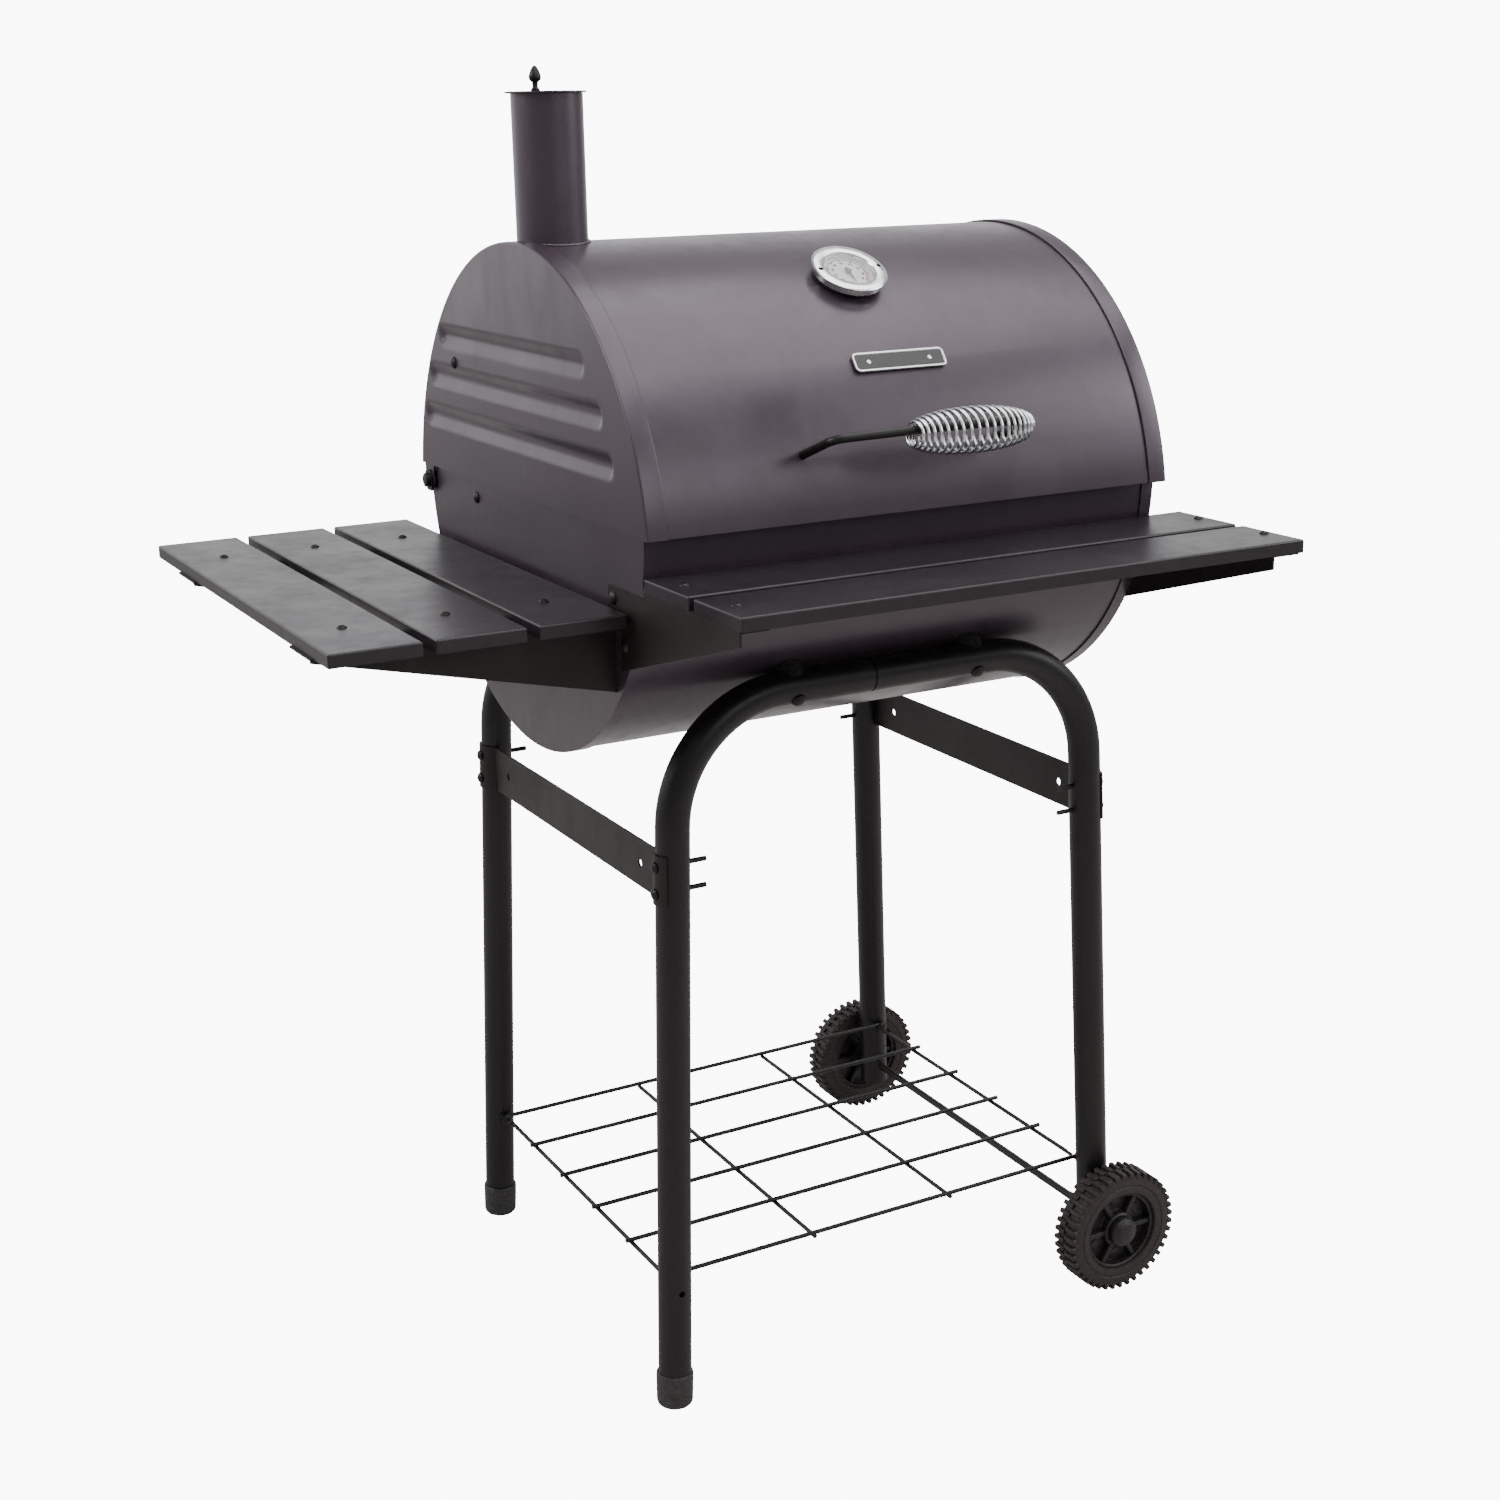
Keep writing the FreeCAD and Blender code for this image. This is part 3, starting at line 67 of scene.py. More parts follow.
class Wiring:
    """Short calls for adding nodes to one tree."""

    def __init__(self, tree, first=None):
        self.tree = tree
        self.source = tree.nodes.new(first) if first else None

    def feed(self, socket, value):
        if isinstance(value, bpy.types.NodeSocket):
            self.tree.links.new(value, socket)
        elif value is not None:
            socket.default_value = value

    def given(self, label):
        return self.source.outputs[label]

    def spot(self):
        return self.tree.nodes.new("ShaderNodeTexCoord").outputs["Object"]

    def noise(self, scale, detail=3.0, rough=0.5, stretch=None):
        node = self.tree.nodes.new("ShaderNodeTexNoise")
        self.feed(node.inputs["Scale"], scale)
        self.feed(node.inputs["Detail"], detail)
        self.feed(node.inputs["Roughness"], rough)
        place = self.spot()
        if stretch:
            turn = self.tree.nodes.new("ShaderNodeMapping")
            self.feed(turn.inputs["Vector"], place)
            turn.inputs["Scale"].default_value = stretch
            place = turn.outputs["Vector"]
        self.feed(node.inputs["Vector"], place)
        return node.outputs["Fac"]

    def cells(self, scale):
        node = self.tree.nodes.new("ShaderNodeTexVoronoi")
        self.feed(node.inputs["Scale"], scale)
        self.feed(node.inputs["Vector"], self.spot())
        return node.outputs["Distance"]

    def fit(self, value, low, high, to_low=0.0, to_high=1.0):
        node = self.tree.nodes.new("ShaderNodeMapRange")
        for label, item in zip(("Value", "From Min", "From Max", "To Min", "To Max"),
                               (value, low, high, to_low, to_high)):
            self.feed(node.inputs[label], item)
        return node.outputs["Result"]

    def combine(self, operation, first, second):
        node = self.tree.nodes.new("ShaderNodeMath")
        node.operation = operation
        self.feed(node.inputs[0], first)
        self.feed(node.inputs[1], second)
        return node.outputs[0]

    def add(self, first, second):
        return self.combine("ADD", first, second)

    def times(self, first, second):
        return self.combine("MULTIPLY", first, second)

    def mix(self, amount, first, second):
        node = self.tree.nodes.new("ShaderNodeMix")
        node.data_type = "RGBA"
        self.feed(node.inputs[0], amount)
        self.feed(node.inputs[6], first)
        self.feed(node.inputs[7], second)
        return node.outputs[2]

    def bump(self, height, strength, distance, normal=None):
        node = self.tree.nodes.new("ShaderNodeBump")
        self.feed(node.inputs["Height"], height)
        self.feed(node.inputs["Strength"], strength)
        self.feed(node.inputs["Distance"], distance)
        self.feed(node.inputs["Normal"], normal)
        return node.outputs["Normal"]

    def upward(self):
        node = self.tree.nodes.new("ShaderNodeSeparateXYZ")
        geometry = self.tree.nodes.new("ShaderNodeNewGeometry")
        self.feed(node.inputs[0], geometry.outputs["Normal"])
        return node.outputs["Z"]


COLOR = "NodeSocketColor"
VALUE = "NodeSocketFloat"
NORMAL = "NodeSocketVector"
FINISH = [("Color", COLOR), ("Roughness", VALUE), ("Normal", NORMAL)]


def grey(level):
    return (level, level, level, 1.0)


def powder_coat_group():
    """Baked powder coat: orange peel, fine flecks, a slow drift of tone and a trace of dust."""
    tree, w, out = new_group("Powder coat", [
        ("Coat", COLOR, grey(0.04)), ("Fleck", COLOR, grey(0.12)), ("Fleck amount", VALUE, 0.25),
        ("Drift", VALUE, 0.12), ("Peel scale", VALUE, 900.0), ("Peel depth", VALUE, 0.25),
        ("Roughness", VALUE, 0.4), ("Dust", VALUE, 0.06)], FINISH)
    drift = w.fit(w.noise(5.0, 2.0), 0.3, 0.7, -1.0, 1.0)
    tone = w.add(1.0, w.times(drift, w.given("Drift")))
    tint = w.tree.nodes.new("ShaderNodeHueSaturation")
    w.feed(tint.inputs["Color"], w.given("Coat"))
    w.feed(tint.inputs["Value"], tone)
    flecks = w.fit(w.noise(1900.0, 1.0), 0.62, 0.78)
    amount = w.times(flecks, w.given("Fleck amount"))
    color = w.mix(amount, tint.outputs["Color"], w.given("Fleck"))
    lying = w.fit(w.upward(), 0.35, 1.0)
    specks = w.fit(w.noise(55.0, 6.0, 0.75), 0.52, 0.8)
    dust = w.times(w.times(lying, specks), w.given("Dust"))
    color = w.mix(dust, color, (0.42, 0.38, 0.34, 1.0))
    w.feed(out.inputs["Color"], color)
    cloud = w.fit(w.noise(14.0, 4.0), 0.3, 0.7, -0.035, 0.045)
    smear = w.fit(w.noise(60.0, 5.0, 0.6, (1.0, 1.0, 0.25)), 0.45, 0.75, 0.0, 0.06)
    rough = w.add(w.given("Roughness"), w.add(cloud, smear))
    w.feed(out.inputs["Roughness"], w.add(rough, dust))
    peel = w.noise(w.given("Peel scale"), 2.0, 0.55)
    waves = w.bump(w.noise(26.0, 1.0), 0.05, 1.5 * MM)
    w.feed(out.inputs["Normal"], w.bump(peel, w.given("Peel depth"), 0.12 * MM, waves))
    return tree


def plated_group():
    """Plated or bare steel: fine scratches, tarnish in blotches and a soft sparkle."""
    tree, w, out = new_group("Plated steel", [
        ("Metal", COLOR, grey(0.6)), ("Tarnish", COLOR, grey(0.25)), ("Tarnish amount", VALUE, 0.3),
        ("Roughness", VALUE, 0.25), ("Scratch depth", VALUE, 0.15)], FINISH)
    blotch = w.fit(w.noise(140.0, 5.0, 0.65), 0.42, 0.72)
    amount = w.times(blotch, w.given("Tarnish amount"))
    color = w.mix(amount, w.given("Metal"), w.given("Tarnish"))
    w.feed(out.inputs["Color"], color)
    scratch = w.noise(420.0, 3.0, 0.6, (0.15, 1.0, 1.0))
    cross = w.noise(520.0, 3.0, 0.6, (1.0, 1.0, 0.12))
    both = w.times(scratch, cross)
    rough = w.add(w.given("Roughness"), w.fit(both, 0.15, 0.4, -0.04, 0.1))
    w.feed(out.inputs["Roughness"], w.add(rough, w.times(blotch, 0.12)))
    w.feed(out.inputs["Normal"], w.bump(both, w.given("Scratch depth"), 0.08 * MM))
    return tree


def moulded_group():
    """Moulded plastic: spark-eroded grain, scuffs that are paler, and specks of grit."""
    tree, w, out = new_group("Moulded plastic", [
        ("Plastic", COLOR, grey(0.02)), ("Scuff", COLOR, grey(0.09)), ("Scuff amount", VALUE, 0.4),
        ("Grit", COLOR, (0.09, 0.065, 0.045, 1.0)), ("Grit amount", VALUE, 0.3),
        ("Grain scale", VALUE, 1500.0), ("Roughness", VALUE, 0.55)], FINISH)
    scuff = w.fit(w.noise(90.0, 6.0, 0.7, (1.0, 1.0, 2.5)), 0.55, 0.74)
    amount = w.times(scuff, w.given("Scuff amount"))
    color = w.mix(amount, w.given("Plastic"), w.given("Scuff"))
    grit = w.times(w.fit(w.noise(260.0, 4.0, 0.7), 0.5, 0.7), w.given("Grit amount"))
    w.feed(out.inputs["Color"], w.mix(grit, color, w.given("Grit")))
    w.feed(out.inputs["Roughness"], w.add(w.given("Roughness"), w.times(scuff, 0.15)))
    grain = w.add(w.cells(w.given("Grain scale")), w.noise(240.0, 2.0))
    w.feed(out.inputs["Normal"], w.bump(grain, 0.22, 0.15 * MM))
    return tree


def glass_group():
    """Smudges on a dial's window."""
    tree, w, out = new_group("Window smudges", [
        ("Roughness", VALUE, 0.03), ("Smudge", VALUE, 0.08)], FINISH[1:])
    smudge = w.fit(w.noise(110.0, 5.0, 0.7), 0.5, 0.75)
    rough = w.add(w.given("Roughness"), w.times(smudge, w.given("Smudge")))
    w.feed(out.inputs["Roughness"], rough)
    w.feed(out.inputs["Normal"], w.bump(smudge, 0.05, 0.05 * MM))
    return tree


GROUPS = {"coat": powder_coat_group(), "plated": plated_group(), "moulded": moulded_group(),
          "window": glass_group()}
SOCKETS = {"Color": "Base Color", "Roughness": "Roughness", "Normal": "Normal"}


def material(name, group, settings, metallic=0.0, specular=0.5, coat=0.0, clear=None):
    """A principled surface fed by one of the groups; clear holds the settings of a window."""
    made = bpy.data.materials.new(name)
    made.use_nodes = True
    w = Wiring(made.node_tree)
    surface = made.node_tree.nodes["Principled BSDF"]
    finish = made.node_tree.nodes.new("ShaderNodeGroup")
    finish.node_tree = GROUPS[group]
    for label, value in settings.items():
        finish.inputs[label].default_value = value
    for label, target in SOCKETS.items():
        if label in finish.outputs:
            w.feed(surface.inputs[target], finish.outputs[label])
    surface.inputs["Metallic"].default_value = metallic
    surface.inputs["Specular IOR Level"].default_value = specular
    surface.inputs["Coat Weight"].default_value = coat
    surface.inputs["Coat Roughness"].default_value = 0.25
    for label, value in (clear or {}).items():
        surface.inputs[label].default_value = value
    return made


barrel_coat = material("Barrel coat", "coat", {
    "Coat": (0.046, 0.032, 0.045, 1), "Fleck": (0.16, 0.125, 0.16, 1), "Fleck amount": 0.3,
    "Drift": 0.10, "Roughness": 0.31, "Peel depth": 0.2, "Dust": 0.04},
    metallic=0.35, specular=0.6)
frame_coat = material("Frame coat", "coat", {
    "Coat": (0.0068, 0.0052, 0.0054, 1), "Fleck": (0.035, 0.028, 0.028, 1),
    "Fleck amount": 0.15, "Drift": 0.15, "Roughness": 0.38, "Peel depth": 0.3, "Dust": 0.05},
    specular=0.3)
bracket_coat = material("Bracket coat", "coat", {
    "Coat": (0.0115, 0.0088, 0.0083, 1), "Fleck": (0.05, 0.038, 0.034, 1), "Fleck amount": 0.2,
    "Drift": 0.2, "Roughness": 0.45, "Peel depth": 0.35, "Dust": 0.05}, specular=0.24)
slat_coat = material("Slat coat", "coat", {
    "Coat": (0.0125, 0.0095, 0.0125, 1), "Fleck": (0.08, 0.065, 0.08, 1), "Fleck amount": 0.2,
    "Drift": 0.12, "Roughness": 0.34, "Peel depth": 0.3, "Dust": 0.03}, specular=0.38)
wire_coat = material("Wire coat", "coat", {
    "Coat": (0.006, 0.005, 0.005, 1), "Fleck": (0.05, 0.045, 0.045, 1), "Drift": 0.25,
    "Roughness": 0.38, "Peel depth": 0.3, "Dust": 0.06}, specular=0.3)
enamel = material("Grate enamel", "coat", {
    "Coat": (0.012, 0.012, 0.013, 1), "Fleck": (0.08, 0.08, 0.09, 1), "Drift": 0.2,
    "Peel scale": 350.0, "Roughness": 0.2, "Peel depth": 0.3, "Dust": 0.02},
    specular=0.6, coat=0.4)
black_steel = material("Blackened bolt", "plated", {
    "Metal": (0.022, 0.019, 0.020, 1), "Tarnish": (0.008, 0.007, 0.008, 1),
    "Tarnish amount": 0.6, "Roughness": 0.36}, metallic=0.5, specular=0.3)
# Painted shade: a near-black colour put in the shelf screws' cross recesses and on the whole heads
# of the bezel's screws, in place of the shade that falls there.
recess_painted_shade = material("Recess shadow", "moulded", {
    "Plastic": (0.002, 0.002, 0.002, 1), "Scuff amount": 0.0, "Grit amount": 0.0,
    "Roughness": 0.8}, specular=0.1)
zinc = material("Zinc plate", "plated", {
    "Metal": (0.56, 0.56, 0.57, 1), "Tarnish": (0.30, 0.30, 0.29, 1), "Tarnish amount": 0.4,
    "Roughness": 0.27}, metallic=1.0)
spring_steel = material("Spring wire", "plated", {
    "Metal": (0.74, 0.75, 0.76, 1), "Tarnish": (0.42, 0.42, 0.43, 1), "Tarnish amount": 0.25,
    "Roughness": 0.16}, metallic=1.0)
bezel_steel = material("Polished bezel", "plated", {
    "Metal": (0.78, 0.78, 0.78, 1), "Tarnish": (0.5, 0.5, 0.5, 1), "Tarnish amount": 0.15,
    "Roughness": 0.17, "Scratch depth": 0.08}, metallic=1.0)
plate_metal = material("Plate metal", "plated", {
    "Metal": (0.72, 0.72, 0.72, 1), "Tarnish": (0.45, 0.45, 0.45, 1), "Tarnish amount": 0.2,
    "Roughness": 0.28}, metallic=1.0)
plate_ink = material("Plate panel", "moulded", {
    "Plastic": (0.02, 0.018, 0.02, 1), "Roughness": 0.4, "Scuff amount": 0.1, "Grit amount": 0.0})
tyre_plastic = material("Tyre plastic", "moulded", {
    "Plastic": (0.017, 0.0125, 0.0115, 1), "Scuff": (0.07, 0.052, 0.045, 1),
    "Scuff amount": 0.4, "Grit amount": 0.15}, specular=0.35)
rim_plastic = material("Rim plastic", "moulded", {
    "Plastic": (0.010, 0.0085, 0.009, 1), "Scuff": (0.05, 0.04, 0.038, 1), "Roughness": 0.46,
    "Grit amount": 0.12}, specular=0.35)
foot_plastic = material("Foot plastic", "moulded", {
    "Plastic": (0.012, 0.011, 0.012, 1), "Scuff amount": 0.35, "Roughness": 0.5})
dial_print = material("Dial face", "moulded", {
    "Plastic": (0.56, 0.56, 0.57, 1), "Scuff": (0.64, 0.64, 0.64, 1), "Scuff amount": 0.3,
    "Grit amount": 0.03, "Roughness": 0.4})
dial_ink = material("Dial ink", "moulded", {
    "Plastic": (0.02, 0.02, 0.022, 1), "Scuff amount": 0.1, "Grit amount": 0.0})
dial_red = material("Dial red", "moulded", {
    "Plastic": (0.42, 0.03, 0.02, 1), "Scuff amount": 0.1, "Grit amount": 0.0})
window_glass = material("Window glass", "window", {}, clear={"Alpha": 0.1, "IOR": 1.45})

NODE_FINISH = {
    barrel_coat: ("firebox_shell", "firebox_end_left", "firebox_end_right", "lid_shell",
                  "lid_end_left", "lid_end_right", "smokestack", "stack_damper_disc",
                  "air_damper_disc", "cooking_grate_ledges", "fire_grate_ledges"),
    frame_coat: ("leg_front_left", "leg_front_right", "leg_rear_left", "leg_rear_right",
                 "handle_rod"),
    bracket_coat: ("front_bracket_left", "front_bracket_right", "side_bracket_front",
                   "side_bracket_rear", "brace_left", "brace_right"),
    slat_coat: ("front_slat_inner", "front_slat_outer", "side_slat_outer", "side_slat_middle",
                "side_slat_inner"),
    wire_coat: ("lower_rack", "axle"),
    enamel: ("cooking_grate_left", "cooking_grate_right", "fire_grate"),
    black_steel: ("hinge_rivets", "leg_bolts", "brace_bolts", "shelf_screws", "bracket_bolts",
                  "lower_rack_bolts", "rack_lid_bolts", "rack_leg_bolts", "stack_damper_knob"),
    zinc: ("air_damper_rivet", "axle_washers", "lid_nuts", "thermometer_stem", "warming_rack",
           "warming_rack_legs"),
    spring_steel: ("spring_grip",),
    bezel_steel: ("thermometer_case",),
    plate_metal: ("name_plate",),
    tyre_plastic: ("wheel_front", "wheel_rear"),
    rim_plastic: ("hub_cap_front", "hub_cap_rear"),
    foot_plastic: ("foot_caps", "leg_saddles"),
    dial_print: ("thermometer_dial",),
    dial_ink: ("thermometer_needle",),
    window_glass: ("thermometer_glass",),
}
for finish, names in NODE_FINISH.items():
    for name in names:
        nodes[name].data.materials.clear()
        nodes[name].data.materials.append(finish)


# ------------------------------------------------------------------ making pieces
MERGE = 1e-6


def shift(x, y, z):
    """A move by so many mm."""
    return Matrix.Translation((x * MM, y * MM, z * MM))


def spun(angle):
    """A turn about z."""
    return Matrix.Rotation(angle, 4, "Z")


def centre_of(node):
    low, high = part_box(node)
    return (low + high) / 2


def piece(name, bm, finish, body, replaces=(), smooth=40.0):
    """Make bm a piece that rides a body; edges sharper than smooth degrees stay sharp."""
    bmesh.ops.remove_doubles(bm, verts=bm.verts, dist=MERGE)
    bmesh.ops.recalc_face_normals(bm, faces=bm.faces)
    mesh = bpy.data.meshes.new(name)
    bm.to_mesh(mesh)
    bm.free()
    made = bpy.data.objects.new(name, mesh)
    bpy.context.scene.collection.objects.link(made)
    for item in finish if isinstance(finish, list) else [finish]:
        mesh.materials.append(item)
    mesh.shade_smooth()
    mesh.set_sharp_from_angle(angle=math.radians(smooth))
    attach(made, body)
    for node in replaces:
        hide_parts(node)


def lathe(bm, profile, place, steps):
    """Turn an outline of (radius, height) points, in mm, a full turn about place's own z axis."""
    before = set(bm.verts)
    verts = [bm.verts.new((radius * MM, 0.0, height * MM)) for radius, height in profile]
    edges = [bm.edges.new(pair) for pair in zip(verts, verts[1:])]
    bmesh.ops.spin(bm, geom=verts + edges, cent=(0, 0, 0), axis=(0, 0, 1), angle=2 * math.pi,
                   steps=steps, use_merge=True)
    fresh = [v for v in bm.verts if v not in before]
    bmesh.ops.remove_doubles(bm, verts=fresh, dist=MERGE)
    fresh = [v for v in bm.verts if v not in before]
    bmesh.ops.transform(bm, matrix=place, verts=fresh)


def block(bm, size, place, bevel=0.0, segments=1, material_index=0):
    """A box with rounded edges; size and bevel are in mm."""
    shape = Matrix.Diagonal([length * MM for length in size] + [1.0])
    verts = bmesh.ops.create_cube(bm, size=1.0, matrix=shape)["verts"]
    if bevel:
        edges = list({e for v in verts for e in v.link_edges})
        done = bmesh.ops.bevel(bm, geom=edges, offset=bevel * MM, segments=segments,
                               affect="EDGES", profile=0.5, material=-1)
        rounded = {v for f in done["faces"] for v in f.verts}
        verts = list(rounded | {v for v in verts if v.is_valid})
    for face in {f for v in verts for f in v.link_faces}:
        face.material_index = material_index
    bmesh.ops.transform(bm, matrix=place, verts=verts)


def wire(name, points, radius, finish, body, sides, replaces=(), closed=False):
    """A round wire along a smooth line, made a mesh."""
    line = bpy.data.curves.new(name + ".line", "CURVE")
    line.dimensions = "3D"
    line.bevel_depth = radius
    line.bevel_resolution = sides
    line.use_fill_caps = True
    spline = line.splines.new("POLY")
    spline.points.add(len(points) - 1)
    for spot, point in zip(spline.points, points):
        spot.co = (*point, 1.0)
    spline.use_cyclic_u = closed
    holder = bpy.data.objects.new(name + ".line", line)
    mesh = bpy.data.meshes.new_from_object(holder)
    bm = bmesh.new()
    bm.from_mesh(mesh)
    bpy.data.objects.remove(holder)
    piece(name, bm, finish, body, replaces, smooth=50.0)


def tilted(tilt, x):
    """Place on the lid's skin: local x runs right, local y up the skin, local z straight out."""
    normal = Vector((0, -math.sin(tilt), math.cos(tilt)))
    uphill = Vector((0, math.cos(tilt), math.sin(tilt)))
    spot = Vector((x, BARREL_Y, LID_AXIS_Z)) + normal * LID_RADIUS
    turn = Matrix((RIGHT, uphill, normal)).transposed().to_4x4()
    return Matrix.Translation(spot) @ turn


# ------------------------------------------------------------------ coil grip
GRIP_TURNS = 19
GRIP_STEPS = 28                     # points in one turn
GRIP_WIRE = 1.5 * MM
GRIP_END = 9.5 * MM                 # the coil's radius at its ends, and in its middle
GRIP_MIDDLE = 19.3 * MM
GRIP_LEAN = (5.4 * MM, -2.0 * MM)   # how far back and down the right end lies


def coil_grip():
    low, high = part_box("spring_grip")
    middle = (low + high) / 2
    lean = Vector((high.x - low.x, *GRIP_LEAN))
    axis = lean.normalized()
    side = axis.cross(Vector((0, 0, 1))).normalized()
    other = axis.cross(side)
    length = lean.length - 2.6 * GRIP_WIRE
    count = GRIP_TURNS * GRIP_STEPS
    points = []
    for step in range(count + 1):
        part = step / count
        turn = 2 * math.pi * GRIP_TURNS * part
        spread = 0.5 - 0.5 * math.cos(math.pi * part)
        along = ((part + spread) / 2 - 0.5) * length
        swell = 1 - (2 * part - 1) ** 2
        radius = GRIP_END + (GRIP_MIDDLE - GRIP_END) * swell
        outwards = side * math.cos(turn) + other * math.sin(turn)
        points.append(middle + axis * along + outwards * radius)
    wire("grip_coil", points, GRIP_WIRE, spring_steel, "lid", 3, ("spring_grip",))


# ------------------------------------------------------------------ lid ends and hem
# each rib's low y, high y, low z and high z, in mm
RIBS = ((-152, 195, 975, 998), (-186, 226, 934.5, 958.5), (-205, 244, 893, 917))
RIB_DEPTH = 3.7
RIB_CORNER = 11.0
RIB_SLOPE = 9.5
END_RADIUS = 268.4 * MM
END_SHEET = 1.1 * MM
END_INSET = 2.4 * MM                # how far the flat plate stays inside END_RADIUS
END_CUTS = 72                       # cuts that round its edge
LID_EDGE_Z = 851 * MM
PRESS_STEP = 2.6 * MM
EAR_Z = 835 * MM
EAR_NECK_Z = 846 * MM
EAR_TO_BACK = 11 * MM               # from the hinge's centre to the back of its rivet
# radius, and depth in from the outer face
END_FLANGE = [(265.0, 0.0), (266.4, 0.03), (266.9, 0.1), (267.6, 0.4), (268.1, 0.95), (268.3, 1.7),
              (268.35, 2.3), (268.35, 18.9), (268.28, 19.4), (268.05, 19.75), (267.7, 19.9),
              (267.3, 19.9), (266.5, 19.3), (266.5, 1.6), (265.0, 1.2), (265.0, 0.0)]
HINGE_EAR = [(4.2, 0), (11.2, 0), (11.9, 0.5), (11.9, 1.2), (4.2, 1.2), (4.2, 0)]
HEM_INNER = 266.2
HEM_OUTER = 266.95
HEM_TO_END = 19.3                   # gap to the shell's end, under the flange
HEM_LOW = 0.2 * MM
HEM_HIGH = 12.5 * MM


def rib_depth(y, z):
    """How far in the end plate is pressed at a point, in mm, with soft shoulders."""
    depth = 0.0
    for y0, y1, z0, z1 in RIBS:
        past_y = max(y0 + RIB_CORNER - y, y - y1 + RIB_CORNER, 0.0)
        past_z = max(z0 + RIB_CORNER - z, z - z1 + RIB_CORNER, 0.0)
        inside = RIB_CORNER - math.hypot(past_y, past_z)
        share = min(1.0, max(0.0, inside / RIB_SLOPE))
        depth = max(depth, RIB_DEPTH * share * share * (3 - 2 * share))
    return depth


def trim(bm, point, normal, close=False):
    """Cut away what lies on the side that normal points to."""
    cut = bmesh.ops.bisect_plane(bm, geom=bm.verts[:] + bm.edges[:] + bm.faces[:],
                                 plane_co=point, plane_no=normal, clear_outer=True)
    if close:
        rim = [e for e in cut["geom_cut"] if isinstance(e, bmesh.types.BMEdge)]
        bmesh.ops.contextual_create(bm, geom=rim)


def along_x(x, y, z):
    """Place whose z axis runs along the barrel."""
    return Matrix.Translation((x, y, z)) @ Matrix.Rotation(math.radians(90), 4, "Y")


def lid_end(side, word):
    low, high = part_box("lid_end_" + word)
    face_x = low.x if side < 0 else high.x
    wide = 2 * END_RADIUS
    tall = LID_AXIS_Z + END_RADIUS - LID_EDGE_Z
    centre = Matrix.Translation((face_x, BARREL_Y, LID_EDGE_Z + tall / 2))
    upright = Matrix(((0, 0, 1, 0), (1, 0, 0, 0), (0, 1, 0, 0), (0, 0, 0, 1)))
    size = Matrix.Diagonal((wide, tall, 1, 1))
    bm = bmesh.new()
    bmesh.ops.create_grid(bm, x_segments=int(wide / PRESS_STEP), y_segments=int(tall / PRESS_STEP),
                          size=0.5, matrix=centre @ upright @ size)
    for vert in bm.verts:
        vert.co.x -= side * rib_depth((vert.co.y - BARREL_Y) / MM, vert.co.z / MM) * MM
    for step in range(END_CUTS + 1):
        turn = math.radians(180 * step / END_CUTS)
        outwards = Vector((0, math.cos(turn), math.sin(turn)))
        edge = Vector((0, BARREL_Y, LID_AXIS_Z)) + outwards * (END_RADIUS - END_INSET)
        trim(bm, edge, outwards)
    skin = bm.faces[:]
    if (skin[0].normal.x > 0) != (side > 0):
        bmesh.ops.reverse_faces(bm, faces=skin)
    bmesh.ops.solidify(bm, geom=skin, thickness=END_SHEET)
    piece("lid_end_plate_" + word, bm, barrel_coat, "lid", ("lid_end_" + word,), 60)

    bm = bmesh.new()
    flange = [(radius, -side * depth) for radius, depth in END_FLANGE]
    lathe(bm, flange, along_x(face_x, BARREL_Y, LID_AXIS_Z), 200)
    trim(bm, (0, 0, LID_EDGE_Z), (0, 0, -1), close=True)
    piece("lid_end_flange_" + word, bm, barrel_coat, "lid", smooth=50)

    bm = bmesh.new()
    hinge_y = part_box("hinge_rivets")[1].y - EAR_TO_BACK
    ear = [(radius, -side * depth) for radius, depth in HINGE_EAR]
    lathe(bm, ear, along_x(face_x, hinge_y, EAR_Z), 48)
    neck = Matrix.Translation((face_x - side * 0.6 * MM, hinge_y, EAR_NECK_Z))
    block(bm, (1.19, 23.6, 11.0), neck, 0.3)
    piece("lid_hinge_ear_" + word, bm, barrel_coat, "lid", smooth=40)


def lid_hem():
    """The folded edge along the lid's front and back."""
    low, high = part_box("lid_shell")
    half = (high.x - low.x) / 2 / MM - HEM_TO_END
    fold = [(HEM_INNER, -half), (HEM_OUTER, -half), (HEM_OUTER, half), (HEM_INNER, half),
            (HEM_INNER, -half)]
    for word, facing in (("front", -1), ("back", 1)):
        bm = bmesh.new()
        lathe(bm, fold, along_x(BARREL_X, BARREL_Y, LID_AXIS_Z), 240)
        trim(bm, (0, 0, LID_EDGE_Z + HEM_LOW), (0, 0, -1), close=True)
        trim(bm, (0, 0, LID_EDGE_Z + HEM_HIGH), (0, 0, 1))
        trim(bm, (0, BARREL_Y, 0), (0, -facing, 0))
        piece("lid_hem_" + word, bm, barrel_coat, "lid", smooth=30)


# ------------------------------------------------------------------ wheels
WHEEL_RADIUS = 66 * MM
LUGS_IN_ROW = 42
LUG_ROW = 7.9                       # from the wheel's middle plane to the middle of a row of lugs
LUG_RADIUS = 62.6
LUG_SIZE = (6.4, 4.9, 15.2)
SPOKES = 6
SPOKE_SIZE = (22.5, 5.4, 19.5)
SPOKE_RADIUS = 28.5
WEB_RADIUS = 29.5
TYRE = [(42, -12.0), (43, -14.6), (46, -15.4), (49.5, -15.4), (50.2, -14.7), (51.6, -14.7),
        (52.3, -15.4), (58.5, -15.2), (61.4, -13.8), (62.8, -10.5), (62.8, 10.5), (61.4, 13.8),
        (58.5, 15.2), (52.3, 15.4), (51.6, 14.7), (50.2, 14.7), (49.5, 15.4), (46, 15.4),
        (43, 14.6), (42, 12.0), (42, -12.0)]
